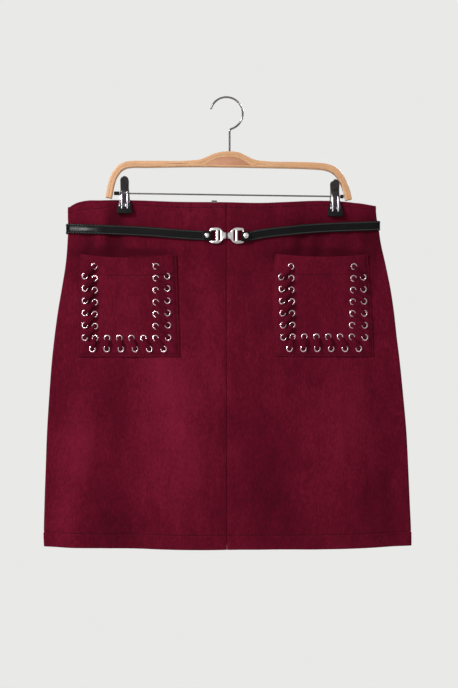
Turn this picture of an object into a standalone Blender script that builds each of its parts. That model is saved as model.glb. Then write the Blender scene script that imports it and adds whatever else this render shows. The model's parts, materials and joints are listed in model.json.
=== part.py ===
"""A-line mini skirt hung by its waist from a wooden clip hanger.

All sizes below are in millimetres and every mesh is scaled to metres as it is made. X runs to the
right across the front, +Y to the back, +Z up. The origin is the inner top of the hanger's hook,
where a rail carries it. The cloth is four panels of even thickness round an empty, flattened tube.
Each piece that lies on a panel takes the panel's own points, moved outwards.
"""

import functools
import math
from collections import namedtuple

import bmesh
import bpy
from mathutils import Matrix, Vector

MM = 0.001

FRONT, BACK = -1, 1
LEFT, RIGHT = -1, 1

CLOTH = 1.4
SEAM_GAP = 0.3
TOUCH_GAP = 0.3
SHARP_ANGLE_DEG = 35.0

# Skirt
WAIST_Z = -146.0
HEM_Z = -629.0
HEM_DEPTH = 20.0
HEM_STEP = 0.4
HEM_TURNING = 0.8
HEM_STEP_SHARE = 0.001
EDGE_RADIUS_WAIST = 2.2
EDGE_RADIUS_HEM = 3.8
FOLD_EASE = 26.0
FRONT_SEAM_X = -0.3
BACK_SEAM_WAIST_X = -17.0
BACK_SEAM_HEM_X = -6.0
CENTRE_SEAM_DIP = 0.8
CENTRE_SEAM_WIDTH = 4.0

Outline = namedtuple("Outline", "z left right")
SIDE_OUTLINE = (
    Outline(-631.0, -253.4, 260.8),
    Outline(-616.0, -254.1, 260.8),
    Outline(-567.0, -253.4, 258.8),
    Outline(-517.0, -251.7, 256.6),
    Outline(-467.0, -249.9, 254.0),
    Outline(-417.0, -246.9, 249.5),
    Outline(-366.0, -243.0, 244.3),
    Outline(-333.0, -239.4, 240.2),
    Outline(-300.0, -235.0, 236.5),
    Outline(-266.0, -229.3, 231.4),
    Outline(-233.0, -224.1, 224.6),
    Outline(-199.0, -221.4, 217.1),
    Outline(-182.0, -220.8, 214.7),
    Outline(-166.0, -221.2, 211.7),
    Outline(-140.0, -221.0, 210.7),
)

Waistline = namedtuple("Waistline", "x front back")
TOP_EDGE = (
    Waistline(-221.0, -157.7, -155.0),
    Waistline(-211.0, -152.6, -148.6),
    Waistline(-197.0, -150.7, -144.6),
    Waistline(-176.0, -148.7, -143.8),
    Waistline(-157.0, -145.0, -143.4),
    Waistline(-123.0, -144.5, -143.6),
    Waistline(-68.0, -147.0, -144.8),
    Waistline(0.0, -146.8, -144.9),
    Waistline(49.0, -147.4, -145.6),
    Waistline(89.0, -144.9, -144.0),
    Waistline(134.0, -142.9, -143.2),
    Waistline(167.0, -144.2, -144.4),
    Waistline(190.0, -147.1, -146.2),
    Waistline(211.0, -150.3, -149.8),
)

Hemline = namedtuple("Hemline", "x hem")
HEM_EDGE = (
    Hemline(-254.0, -624.9),
    Hemline(-200.0, -626.6),
    Hemline(-134.0, -627.7),
    Hemline(-57.0, -628.9),
    Hemline(60.0, -629.9),
    Hemline(115.0, -630.8),
    Hemline(188.0, -629.6),
    Hemline(261.0, -627.9),
)

Fullness = namedtuple("Fullness", "waist hem")
FULLNESS = {FRONT: Fullness(3.6, 15.0), BACK: Fullness(4.4, 17.0)}

# A fold runs straight between two points. A positive height is a ridge and a negative one a trough.
Fold = namedtuple("Fold", "side x_top z_top x_low z_low half_width height reaches_hem")
FOLDS = (
    Fold(FRONT, -212.0, -400.0, -224.0, -640.0, 22.0, 3.0, True),
    Fold(FRONT, -132.0, -345.0, -168.0, -640.0, 26.0, -3.8, True),
    Fold(FRONT, -88.0, -340.0, -78.0, -640.0, 27.0, 2.8, True),
    Fold(FRONT, 36.0, -360.0, 124.0, -640.0, 25.0, -3.6, True),
    Fold(FRONT, 164.0, -345.0, 160.0, -640.0, 28.0, 3.0, True),
    Fold(FRONT, 222.0, -420.0, 236.0, -640.0, 20.0, -1.6, True),
    Fold(BACK, -150.0, -240.0, -176.0, -640.0, 27.0, -3.6, True),
    Fold(BACK, -92.0, -300.0, -86.0, -640.0, 30.0, 3.2, True),
    Fold(BACK, 20.0, -330.0, 34.0, -640.0, 26.0, -3.0, True),
    Fold(BACK, 96.0, -300.0, 104.0, -640.0, 28.0, 3.0, True),
    Fold(BACK, 158.0, -240.0, 184.0, -640.0, 26.0, -3.4, True),
)
FOLD_RISE = 0.4

PANEL_COLUMNS = (0.0, 0.025, 0.09, 0.19, 0.3, 0.41, 0.52, 0.63, 0.74, 0.84, 0.93, 1.0, 1.34, 1.67, 2.0)
PANEL_ROWS = (
    0.0, 0.04, 0.08, 0.12, 0.16, 0.21, 0.27, 0.34, 0.42, 0.5, 0.58, 0.66, 0.74, 0.82, 0.89,
)

# Patch pockets: corner places on the front, how far the mouth sags and stands open
Pocket = namedtuple(
    "Pocket", "left_top right_top top_z left_low right_low low_z left_bow mouth_sag gape"
)
POCKETS = {
    "pocket_left": Pocket(-203.6, -70.2, -219.2, -206.4, -65.3, -361.8, 0.0, 5.6, 7.5),
    "pocket_right": Pocket(68.2, 198.9, -218.0, 67.8, 206.9, -361.4, -5.4, 4.6, 7.5),
}
POCKET_STANDOFF = 2.8
POCKET_EDGE_EASE = 6.4
POCKET_COLUMNS = (0.0, 0.018, 0.046, 0.15, 0.28, 0.42, 0.58, 0.72, 0.85, 0.954, 0.982, 1.0)
POCKET_ROWS = (0.0, 0.06, 0.14, 0.25, 0.38, 0.52, 0.68, 0.84, 0.955, 0.982, 1.0)

# Two rows of eyelets run down, along and up each pocket
EYELET_SIDES = 8
HOLE_SIDES = 6
EYELET_FOOT_RADIUS = 4.7
EYELET_TOP_RADIUS = 3.7
EYELET_HOLE_RADIUS = 2.6
EYELET_HEIGHT = 0.9
EYELET_SINK = 0.8
CUTTER_REACH = 1.0
SIDE_STITCHES = 6
BASE_STITCHES = 6

Row = namedtuple("Row", "left_top left_low right_low right_top top_z low_z")
Base = namedtuple("Base", "left right z")
INNER_ROWS = {
    "pocket_left": Row(-183.6, -182.9, -99.1, -98.7, -236.3, -335.9),
    "pocket_right": Row(89.5, 91.3, 175.1, 178.0, -235.8, -334.0),
}
OUTER_ROWS = {
    "pocket_left": Row(-196.9, -196.9, -81.9, -83.3, -250.1, -335.2),
    "pocket_right": Row(75.9, 78.8, 193.7, 191.2, -250.7, -334.8),
}
OUTER_BASES = {
    "pocket_left": Base(-186.4, -88.1, -351.0),
    "pocket_right": Base(87.1, 184.9, -350.6),
}

# Lace: half width and half thickness of the strand on show, in an eyelet and behind the pocket
LACE_SIDES = 6
LACE_SHOWN = (3.4, 1.5)
LACE_IN_EYELET = (1.7, 1.2)
LACE_BEHIND = (2.2, 0.9)
LACE_TAIL = 8.0
STITCH_SWELLS = (0.32, 0.68)

# Belt and its two-part buckle
BELT_WIDTH = 13.3
BELT_THICKNESS = 2.0
BELT_LOOP_THICKNESS = 4.4
BELT_LOOP_LENGTH = 13.0
BELT_LOOP_END = 19.4
BELT_GAP = 0.6
BELT_STEP_RUN = 0.4
BELT_STEP_REST = 1.0
Beltline = namedtuple("Beltline", "x front back")
BELT_LINE = (
    Beltline(-222.0, -185.1, -185.1),
    Beltline(-104.0, -188.9, -188.0),
    Beltline(-65.0, -191.4, -188.9),
    Beltline(-36.0, -193.0, -189.0),
    Beltline(36.0, -193.0, -188.4),
    Beltline(50.0, -190.2, -187.4),
    Beltline(88.0, -185.6, -185.4),
    Beltline(106.0, -183.6, -184.0),
    Beltline(214.0, -177.7, -177.7),
)
BUCKLE_Z = -193.0
BUCKLE_PLATE = 1.8
BUCKLE_LIFT = 2.0
BUCKLE_BAR_EDGE = 21.6
BUCKLE_OUTLINE = (
    (23.8, 8.6), (23.0, 10.2), (19.0, 10.7), (15.5, 11.1), (12.0, 10.8),
    (8.6, 9.2), (5.9, 6.6), (4.6, 4.4), (1.4, 4.1),
)
BUCKLE_WINDOW = (15.8, 21.6, 7.1)
BUCKLE_SLOT = (10.6, 12.4, 7.2)
TONGUE_ROOT = (-4.4, -1.6)
TONGUE_ROOT_DEPTH = 0.9
TONGUE_REACH = 5.5
TONGUE_HALF_HEIGHT = 2.4
TONGUE_THICKNESS = 1.0
Rivet = namedtuple("Rivet", "name x radius height")
RIVETS = (
    Rivet("rivet_left", -27.9, 3.2, 1.6),
    Rivet("rivet_right", 26.7, 3.9, 1.4),
)
RIVET_SIDES = 12
RIVET_LIFT = 0.5
RivetRing = namedtuple("RivetRing", "height radius")
RIVET_DOME = (
    RivetRing(0.0, 1.0), RivetRing(0.45, 0.96), RivetRing(0.8, 0.72), RivetRing(1.0, 0.34),
)

# Zip in the centre back seam
ZIP_LENGTH = 180.0
ZIP_TOP_DROP = 2.0
ZIP_TAPE_HALF_WIDTH = 12.0
ZIP_TAPE_THICKNESS = 0.8
ZIP_TAPE_COLUMNS = (-1.0, -0.4, 0.0, 0.4, 1.0)
ZIP_ROWS = 9
SLIDER_HALF_WIDTH = 3.7
SLIDER_DROP = 8.0
SLIDER_PLATE = 1.0
SLIDER_TOP_PLATE = 1.4
SLIDER_TOP_GAP = 0.5
SLIDER_CHAMFER = (0.6, 0.5)
SLIDER_SLACK = 1.2
PIN_RADIUS = 0.6
PIN_DROP = 1.2
EYE_RADIUS = 1.5
EYE_HOLE_RADIUS = 0.95
EYE_STEPS = 10
PULL_HALF_WIDTH = 2.2
PULL_LENGTH = 20.0
PULL_THICKNESS = 1.2
PULL_TIP_ROUND = 1.0
EAR_THICKNESS = 1.0
EAR_SINK = 0.4
EAR_LIP = 0.4
EAR_BELOW_PIN = 1.3
EAR_ABOVE_PIN = 1.1
EAR_GAP = 0.35

# Hanger: two bent laminations, a lens-shaped filler between them, a hook, a bar and two clips
LAMINATION = 4.5
GLUE_GAP = 0.3
BOW_HALF_DEPTH = 6.0
LEFT_LEG = (
    (-164.2, -140.4), (-160.1, -120.4), (-157.2, -111.6), (-152.6, -104.2),
    (-148.8, -99.8), (-144.0, -96.7), (-139.6, -94.9), (-134.4, -94.1), (-112.0, -93.6),
)
RIGHT_LEG = (
    (112.0, -93.8), (126.0, -94.4), (137.6, -95.4), (147.7, -98.4),
    (154.6, -102.8), (160.2, -109.6), (164.6, -118.0), (168.9, -129.6), (171.8, -141.4),
)
CROWN = (
    (-42.0, -93.0), (-29.0, -90.0), (-13.0, -84.4), (4.2, -80.6), (21.4, -84.4), (37.4, -90.0), (50.4, -93.2),
)
FILLER_POINT = 6.0

WIRE_RADIUS = 1.4
HOOK_RADIUS = 22.7
HOOK_TIP_DEG = 163.0
HOOK_LOW_DEG = -72.0
HOOK_STEPS = 18
SHANK_X = 4.3
SHANK_BEND = 4.0
SHANK_BEND_SHARE = 0.35
SHANK_BEND_OFFSET = 0.5
SHANK_LOW_Z = -75.5

BAR_RADIUS = 1.1
BAR_SIDES = 10
SLEEVE_RADIUS = 2.6
BAR_LEFT = (-157.0, -134.1)
BAR_RIGHT = (164.8, -136.8)
SLEEVE_LEFT_LENGTH = 7.6
SLEEVE_RIGHT_LENGTH = 4.6

Clip = namedtuple("Clip", "x z")
CLIPS = {
    "clip_left": Clip(-142.2, -134.2),
    "clip_right": Clip(152.4, -136.7),
}
JAW_HALF_WIDTH = 6.2
JAW_THICKNESS = 1.2
JAW_PATH = ((6.7, -25.6), (6.7, -13.4), (4.7, -3.0), (4.7, 2.0), (8.6, 23.2))
PAD_HALF_WIDTH = 10.9
PAD_TOP = -14.0
PAD_LOW = -28.6
PAD_THICKNESS = 3.1
PAD_CLEARANCE = 0.4
PINCH_MARGIN = 2.0
PINCH_EASE_X = 60.0
PINCH_EASE_Z = 90.0
SPRING_RADIUS = 3.6
SPRING_HALF_LENGTH = 4.2


def blend(start, end, share):
    """Value between two numbers."""
    return start + (end - start) * share


def smooth(share):
    """Soft step from 0 to 1."""
    share = min(1.0, max(0.0, share))
    return share * share * (3.0 - 2.0 * share)


def read(table, column, at):
    """Value of a table's column where its first column equals at, straight between rows."""
    for low, high in zip(table, table[1:]):
        if at <= high[0]:
            break
    share = (at - low[0]) / (high[0] - low[0])
    return blend(getattr(low, column), getattr(high, column), min(1.0, max(0.0, share)))


def edge_radius(z):
    """Radius of the round at the skirt's side folds."""
    return blend(EDGE_RADIUS_WAIST, EDGE_RADIUS_HEM, smooth((WAIST_Z - z) / (WAIST_Z - HEM_Z)))


def tip_x(hand, z):
    """Where the flat of the cloth ends and the round of the side fold begins."""
    side = read(SIDE_OUTLINE, "left" if hand == LEFT else "right", z)
    return side - hand * edge_radius(z)


def seam_x(side, z):
    """Place of the centre seam of the front or the back."""
    if side == FRONT:
        return FRONT_SEAM_X
    return blend(BACK_SEAM_WAIST_X, BACK_SEAM_HEM_X, (WAIST_Z - z) / (WAIST_Z - HEM_Z))


def pinch(x, z):
    """1 where a clip presses front and back together, easing to 0 around it."""
    held = 0.0
    for clip in CLIPS.values():
        beside = max(0.0, abs(x - clip.x) - PAD_HALF_WIDTH - PINCH_MARGIN) / PINCH_EASE_X
        below = max(0.0, clip.z + PAD_LOW - z) / PINCH_EASE_Z
        held = max(held, 1.0 - smooth(math.hypot(beside, below)))
    return held


def fold_height(fold, x, z):
    """Height of one fold at a point of the cloth."""
    along = (fold.z_top - z) / (fold.z_top - fold.z_low)
    if along <= 0.0 or along >= 1.0:
        return 0.0
    away = (x - blend(fold.x_top, fold.x_low, along)) / fold.half_width
    fade = 1.0 if fold.reaches_hem else smooth((1.0 - along) / FOLD_RISE)
    return fold.height * smooth(along / FOLD_RISE) * fade * math.exp(-away * away)


def bulge(side, x, z):
    """How far the cloth stands from the middle plane beyond its edge radius."""
    left, right = tip_x(LEFT, z), tip_x(RIGHT, z)
    half = (right - left) / 2.0
    across = min(1.0, abs(x - (left + right) / 2.0) / half)
    drop = smooth((WAIST_Z - z) / (WAIST_Z - HEM_Z))
    fullness = FULLNESS[side]
    lens = blend(fullness.waist, fullness.hem, drop) * (1.0 - across ** 2) * (1.0 - pinch(x, z))
    folds = sum(fold_height(fold, x, z) for fold in FOLDS if fold.side == side)
    seam = (x - seam_x(side, z)) / CENTRE_SEAM_WIDTH
    dip = CENTRE_SEAM_DIP * math.exp(-seam * seam)
    return max(0.0, lens - dip + folds * smooth((1.0 - across) * half / FOLD_EASE))


def cloth_point(side, hand, x, turn, z, offset):
    """Point of the hung cloth.

    The flat part lies at x. From the tip on, turn runs from 0 to 1 round the side fold, to the
    side seam. The offset is measured outwards from the cloth's outer face.
    """
    radius = edge_radius(z) + offset
    angle = turn * math.pi / 2.0
    depth = SEAM_GAP / 2.0 + bulge(side, x, z) + radius * math.cos(angle)
    return (x + hand * radius * math.sin(angle), side * depth, z)


@functools.cache
def panel_grids(side, hand):
    """Outer and inner points of a panel, from its waist to its turned hem."""
    edge = "front" if side == FRONT else "back"
    hem_share = 1.0 - HEM_DEPTH / (WAIST_Z - HEM_Z)
    rows = [(share, 0.0, -CLOTH) for share in (*PANEL_ROWS, hem_share)]
    rows += [
        (share, HEM_STEP, -CLOTH - HEM_TURNING) for share in (hem_share + HEM_STEP_SHARE, 1.0)
    ]
    grids = ([], [])
    for share, outside, inside in rows:
        level = blend(WAIST_Z, HEM_Z, share)
        start = seam_x(side, level) + hand * SEAM_GAP / 2.0
        lines = ([], [])
        for column in PANEL_COLUMNS:
            x = blend(start, tip_x(hand, level), min(1.0, column))
            z = blend(read(TOP_EDGE, edge, x), read(HEM_EDGE, "hem", x), share)
            x = blend(start, tip_x(hand, z), min(1.0, column))
            turn = max(0.0, column - 1.0)
            for line, offset in zip(lines, (outside, inside)):
                line.append(cloth_point(side, hand, x, turn, z, offset))
        for grid, line in zip(grids, lines):
            grid.append(line)
    return grids


def triangle_y(x, z, corners):
    """Y of a triangle at (x, z), or None beside it."""
    (x1, y1, z1), (x2, y2, z2), (x3, y3, z3) = corners
    area = (x2 - x1) * (z3 - z1) - (x3 - x1) * (z2 - z1)
    second = ((x - x1) * (z3 - z1) - (x3 - x1) * (z - z1)) / area
    third = ((x2 - x1) * (z - z1) - (x - x1) * (z2 - z1)) / area
    if min(second, third, 1.0 - second - third) < -1e-6:
        return None
    return y1 + (y2 - y1) * second + (y3 - y1) * third


@functools.cache
def face_y(side, x, z):
    """Y of a panel's outer face, read from the panel's own triangles."""
    hand = LEFT if x < seam_x(side, z) else RIGHT
    outer = panel_grids(side, hand)[0]
    for upper, lower in zip(outer, outer[1:]):
        if min(point[2] for point in lower) > z or max(point[2] for point in upper) < z:
            continue
        for k in range(PANEL_COLUMNS.index(1.0)):
            halves = ((upper[k], upper[k + 1], lower[k + 1]), (upper[k], lower[k + 1], lower[k]))
            for corners in halves:
                y = triangle_y(x, z, corners)
                if y is not None:
                    return y
    return cloth_point(side, hand, x, 0.0, z, 0.0)[1]


def front_face(x, z):
    """Y of the front's outer face."""
    return face_y(FRONT, x, z)


def new_object(name, mesh, material):
    """Object of a bmesh whose faces are turned outwards."""
    bmesh.ops.recalc_face_normals(mesh, faces=mesh.faces)
    data = bpy.data.meshes.new(name)
    mesh.to_mesh(data)
    mesh.free()
    data.shade_smooth()
    data.set_sharp_from_angle(angle=math.radians(SHARP_ANGLE_DEG))
    data.materials.append(material)
    thing = bpy.data.objects.new(name, data)
    bpy.context.scene.collection.objects.link(thing)
    return thing


def add_point(mesh, point):
    """Vertex at a point given in millimetres."""
    return mesh.verts.new(Vector(point) * MM)


def grid_border(grid):
    """The points round a grid, in order."""
    right = [row[-1] for row in grid[1:-1]]
    left = [row[0] for row in grid[1:-1]]
    return grid[0] + right + grid[-1][::-1] + left[::-1]


def closed_wall(outer, inner):
    """Closed wall between two grids of points."""
    mesh = bmesh.new()
    skins = [[[add_point(mesh, point) for point in row] for row in grid] for grid in (outer, inner)]
    for skin in skins:
        for upper, lower in zip(skin, skin[1:]):
            for k in range(len(upper) - 1):
                mesh.faces.new((upper[k], upper[k + 1], lower[k + 1]))
                mesh.faces.new((upper[k], lower[k + 1], lower[k]))
    loops = [grid_border(skin) for skin in skins]
    for k in range(len(loops[0])):
        n = (k + 1) % len(loops[0])
        mesh.faces.new((loops[0][k], loops[0][n], loops[1][n], loops[1][k]))
    return mesh


def tube_mesh(rings):
    """Closed tube through rings of points, with a cap at each end."""
    mesh = bmesh.new()
    loops = [[add_point(mesh, point) for point in ring] for ring in rings]
    sides = len(loops[0])
    for one, two in zip(loops, loops[1:]):
        for k in range(sides):
            n = (k + 1) % sides
            mesh.faces.new((one[k], one[n], two[n], two[k]))
    mesh.faces.new(loops[0])
    mesh.faces.new(loops[-1][::-1])
    return mesh


def prism_mesh(outlines, low, high, place):
    """Prism of an outline with holes, between two heights, each point put in space by place."""
    flat = bmesh.new()
    edges = []
    for outline in outlines:
        points = [flat.verts.new((a, b, 0.0)) for a, b in outline]
        edges += [flat.edges.new((one, two)) for one, two in zip(points, points[1:] + points[:1])]
    flat.verts.index_update()
    bmesh.ops.triangle_fill(flat, use_beauty=True, edges=edges)
    faces = [[point.index for point in face.verts] for face in flat.faces]
    flat.free()
    corners = [corner for outline in outlines for corner in outline]
    mesh = bmesh.new()
    levels = [[add_point(mesh, place(a, b, level)) for a, b in corners] for level in (low, high)]
    for face in faces:
        mesh.faces.new([levels[0][k] for k in face])
        mesh.faces.new([levels[1][k] for k in face[::-1]])
    first = 0
    for outline in outlines:
        count = len(outline)
        for k in range(count):
            one, two = first + k, first + (k + 1) % count
            mesh.faces.new((levels[0][one], levels[0][two], levels[1][two], levels[1][one]))
        first += count
    return mesh


def box_outline(left, right, low, high):
    """Corners of a rectangle."""
    return ((left, low), (right, low), (right, high), (left, high))


def circle_outline(a, b, radius, sides):
    """Corners of a regular polygon round a point."""
    turns = [2.0 * math.pi * k / sides for k in range(sides)]
    return tuple((a + radius * math.cos(turn), b + radius * math.sin(turn)) for turn in turns)


def ribbon_outline(path, inside, outside):
    """Outline of a strip along a path, between two distances to the path's left."""
    sides = []
    for distance in (inside, outside):
        moved = []
        for k, point in enumerate(path):
            before = Vector(path[max(0, k - 1)])
            after = Vector(path[min(len(path) - 1, k + 1)])
            here = Vector(point)
            runs = [run for run in (here - before, after - here) if run.length]
            normals = [Vector((-run.y, run.x)).normalized() for run in runs]
            mean = sum(normals, Vector((0.0, 0.0))).normalized()
            moved.append(tuple(here + mean * distance / mean.dot(normals[0])))
        sides.append(moved)
    return tuple(sides[0] + sides[1][::-1])


def facing_front(a, b, level):
    """An outline drawn in X and Z, with its height along Y."""
    return (a, level, b)


def facing_side(a, b, level):
    """An outline drawn in Y and Z, with its height along X."""
    return (level, a, b)


def facing_up(a, b, level):
    """An outline drawn in X and Y, with its height along Z."""
    return (a, b, level)


def rod_mesh(start, end, radius, sides):
    """Round rod between two points."""
    start, end = Vector(start), Vector(end)
    run = end - start
    mesh = bmesh.new()
    turn = run.to_track_quat("Z", "Y").to_matrix().to_4x4()
    bmesh.ops.create_cone(
        mesh,
        cap_ends=True,
        segments=sides,
        radius1=radius * MM,
        radius2=radius * MM,
        depth=run.length * MM,
        matrix=Matrix.Translation((start + end) / 2.0 * MM) @ turn,
    )
    return mesh


def add_boolean(thing, operation, other):
    """Joins a helper to an object or cuts it out, and keeps the helper out of the part."""
    other.hide_render = True
    other.display_type = "WIRE"
    modifier = thing.modifiers.new(other.name, "BOOLEAN")
    modifier.operation = operation
    modifier.solver = "EXACT"
    modifier.object = other


def finish(name, colour, roughness, metallic=0.0):
    """Principled material of one colour."""
    material = bpy.data.materials.new(name)
    material.use_nodes = True
    shader = material.node_tree.nodes["Principled BSDF"]
    shader.inputs["Base Color"].default_value = (*colour, 1.0)
    shader.inputs["Roughness"].default_value = roughness
    shader.inputs["Metallic"].default_value = metallic
    return material


def make_panel(name, side, hand, material):
    """One of the four panels, from its centre seam round to the side seam, with its turned hem."""
    return new_object(name, closed_wall(*panel_grids(side, hand)), material)


def pocket_standoff(pocket, x, z):
    """Gap between the skirt and a pocket: closed at the sewn edges and open at the mouth."""
    down = min(1.0, max(0.0, (pocket.top_z - z) / (pocket.top_z - pocket.low_z)))
    from_left = x - pocket_edge(pocket, LEFT, down)
    from_right = pocket_edge(pocket, RIGHT, down) - x
    sewn = min(from_left, from_right, z - pocket.low_z)
    across = min(1.0, max(0.0, from_left / (from_left + from_right)))
    open_mouth = pocket.gape * math.sin(math.pi * across) * (1.0 - down) ** 2
    return blend(TOUCH_GAP, POCKET_STANDOFF, smooth(sewn / POCKET_EDGE_EASE)) + open_mouth


def pocket_edge(pocket, hand, down):
    """Place of a pocket's side edge, from its top at 0 to its foot at 1."""
    if hand == LEFT:
        return blend(pocket.left_top, pocket.left_low, down) + pocket.left_bow * math.sin(math.pi * down)
    return blend(pocket.right_top, pocket.right_low, down)


def pocket_face(pocket, x, z):
    """Y of a pocket's outer face."""
    return front_face(x, z) - pocket_standoff(pocket, x, z) - CLOTH


def side_spots(row, hand, shares):
    """Places down one side of a row of eyelets."""
    top, low = (row.left_top, row.left_low) if hand == LEFT else (row.right_top, row.right_low)
    return [(blend(top, low, share), blend(row.top_z, row.low_z, share)) for share in shares]


def base_spots(left, right, z):
    """Places along the foot of a row of eyelets."""
    return [(blend(left, right, k / (BASE_STITCHES - 1)), z) for k in range(BASE_STITCHES)]


def lacing_pairs(name):
    """The eyelets of a pocket, as pairs that one shown stitch joins, in lacing order."""
    inner_row, outer_row, base = INNER_ROWS[name], OUTER_ROWS[name], OUTER_BASES[name]
    inner_shares = [k / SIDE_STITCHES for k in range(SIDE_STITCHES)]
    outer_shares = [k / (SIDE_STITCHES - 1) for k in range(SIDE_STITCHES)]
    inner = side_spots(inner_row, LEFT, inner_shares)
    inner += base_spots(inner_row.left_low, inner_row.right_low, inner_row.low_z)
    inner += side_spots(inner_row, RIGHT, inner_shares)[::-1]
    outer = side_spots(outer_row, LEFT, outer_shares)
    outer += base_spots(base.left, base.right, base.z)
    outer += side_spots(outer_row, RIGHT, outer_shares)[::-1]
    return list(zip(inner, outer))


def eyelet_mesh(name, sides, foot_radius, top_radius, back, front):
    """Short cones at a pocket's eyelets, between two distances in front of its outer face."""
    pocket = POCKETS[name]
    mesh = bmesh.new()
    ahead = Matrix.Rotation(math.pi / 2.0, 4, "X")
    for x, z in [spot for pair in lacing_pairs(name) for spot in pair]:
        middle = pocket_face(pocket, x, z) - (back + front) / 2.0
        bmesh.ops.create_cone(
            mesh,
            cap_ends=True,
            segments=sides,
            radius1=foot_radius * MM,
            radius2=top_radius * MM,
            depth=(front - back) * MM,
            matrix=Matrix.Translation(Vector((x, middle, z)) * MM) @ ahead,
        )
    return mesh


def make_pocket(name, cloth):
    """Patch pocket with a raised, open eyelet at each lacing hole."""
    pocket = POCKETS[name]
    grids = ([], [])
    for down in POCKET_ROWS:
        lines = ([], [])
        left, right = pocket_edge(pocket, LEFT, down), pocket_edge(pocket, RIGHT, down)
        for across in POCKET_COLUMNS:
            x = blend(left, right, across)
            level = blend(pocket.top_z, pocket.low_z, down)
            face = pocket_face(pocket, x, level)
            z = level - pocket.mouth_sag * 4.0 * across * (1.0 - across) * (1.0 - down) ** 3
            for line, offset in zip(lines, (0.0, CLOTH)):
                line.append((x, face + offset, z))
        for grid, line in zip(grids, lines):
            grid.append(line)
    patch = new_object(name, closed_wall(*grids), cloth)
    rim_depths = (-EYELET_SINK, EYELET_HEIGHT)
    hole_depths = (-CLOTH - CUTTER_REACH, EYELET_HEIGHT + CUTTER_REACH)
    rims = eyelet_mesh(name, EYELET_SIDES, EYELET_FOOT_RADIUS, EYELET_TOP_RADIUS, *rim_depths)
    holes = eyelet_mesh(name, HOLE_SIDES, EYELET_HOLE_RADIUS, EYELET_HOLE_RADIUS, *hole_depths)
    add_boolean(patch, "UNION", new_object(name + "_eyelet_rims", rims, cloth))
    add_boolean(patch, "DIFFERENCE", new_object(name + "_eyelet_holes", holes, cloth))
    return patch


def strand_ring(centre, width, height):
    """Ring of a strand round a centre, from its half width and half height vectors."""
    turns = [2.0 * math.pi * k / LACE_SIDES for k in range(LACE_SIDES)]
    return [centre + width * math.cos(turn) + height * math.sin(turn) for turn in turns]


def stitch_sections(start, end, out, sections, lift, swells, swell, swell_lift):
    """Sections of a strand from one eyelet to the next, on one face of the pocket.

    Each section is a centre, a half width and a half height. The strand turns square out of the
    first eyelet and into the second, and swells between them.
    """
    run = (end - start).normalized()
    beside = out.cross(run)
    half_width, half_height = sections
    result = [(start + out * lift, beside * half_width, (out - run) * half_height)]
    for share in swells:
        centre = start.lerp(end, share) + out * swell_lift
        result.append((centre, beside * swell[0], out * swell[1]))
    result.append((end + out * lift, beside * half_width, (out + run) * half_height))
    return result


def make_lace(name, pocket_name, material):
    """The lace of one pocket, in one length: a stitch on show, a run behind, and so on."""
    pocket = POCKETS[pocket_name]
    ahead = Vector((0.0, -1.0, 0.0))
    places = [place for pair in lacing_pairs(pocket_name) for place in pair]
    spots = [Vector((x, pocket_face(pocket, x, z), z)) for x, z in places]
    shown_lift = EYELET_HEIGHT + TOUCH_GAP + LACE_IN_EYELET[1]
    swell_lift = EYELET_HEIGHT + TOUCH_GAP + LACE_SHOWN[1]
    behind_lift = CLOTH + TOUCH_GAP + LACE_BEHIND[1]
    first_run = (spots[0] - spots[1]).normalized()
    last_run = Vector((0.0, 0.0, 1.0))
    sections = []
    tail = spots[0] + first_run * LACE_TAIL - ahead * behind_lift
    sections.append((tail, (-ahead).cross(-first_run) * LACE_BEHIND[0], -ahead * LACE_BEHIND[1]))
    for k in range(0, len(spots), 2):
        start, end = spots[k], spots[k + 1]
        before = spots[k - 1] if k else tail
        after = spots[k + 2] if k + 2 < len(spots) else end + last_run * LACE_TAIL
        sections += into_eyelet(before, start, ahead, behind_lift, start - end)
        sections += stitch_sections(
            start, end, ahead, LACE_IN_EYELET, shown_lift, STITCH_SWELLS, LACE_SHOWN, swell_lift
        )
        sections += out_of_eyelet(end, after, ahead, behind_lift, end - start)
    head = spots[-1] + last_run * LACE_TAIL - ahead * behind_lift
    sections.append((head, (-ahead).cross(last_run) * LACE_BEHIND[0], -ahead * LACE_BEHIND[1]))
    rings = []
    width = sections[0][1]
    for centre, half_width, half_height in sections:
        flip = -1.0 if half_width.dot(width) < 0.0 else 1.0
        width = half_width * flip
        rings.append(strand_ring(centre, width, half_height * flip))
    return new_object(name, tube_mesh(rings), material)


def into_eyelet(before, start, ahead, lift, shown_run):
    """Sections where a strand behind the pocket turns forward through an eyelet."""
    run = start - before
    run.y = 0.0
    run.normalize()
    back = -ahead
    corner = (start + back * lift, back.cross(run) * LACE_BEHIND[0], (back + run) * LACE_BEHIND[1])
    return [corner, eyelet_section(start, run, shown_run, ahead)]


def out_of_eyelet(end, after, ahead, lift, shown_run):
    """Sections where a strand passes back through an eyelet and turns behind the pocket."""
    run = after - end
    run.y = 0.0
    run.normalize()
    back = -ahead
    corner = (end + back * lift, back.cross(run) * LACE_BEHIND[0], (back - run) * LACE_BEHIND[1])
    return [eyelet_section(end, run, shown_run, back), corner]


def eyelet_section(spot, hidden_run, shown_run, travel):
    """Round section half way through an eyelet, turned between the two runs that meet there."""
    shown = Vector((shown_run.x, 0.0, shown_run.z)).normalized()
    if shown.dot(hidden_run) < 0.0:
        hidden_run = -hidden_run
    along = (shown + hidden_run).normalized()
    radius = LACE_IN_EYELET[0]
    centre = spot + Vector((0.0, (CLOTH - EYELET_HEIGHT) / 2.0, 0.0))
    return (centre, along.cross(travel) * radius, along * radius)


def belt_stations(side, hand):
    """The panel's own columns as stations of the belt: x and turn, from the seam outwards."""
    start = seam_x(side, BUCKLE_Z) + hand * SEAM_GAP / 2.0
    tip = tip_x(hand, BUCKLE_Z)
    return [(blend(start, tip, min(1.0, column)), max(0.0, column - 1.0)) for column in PANEL_COLUMNS]


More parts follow.
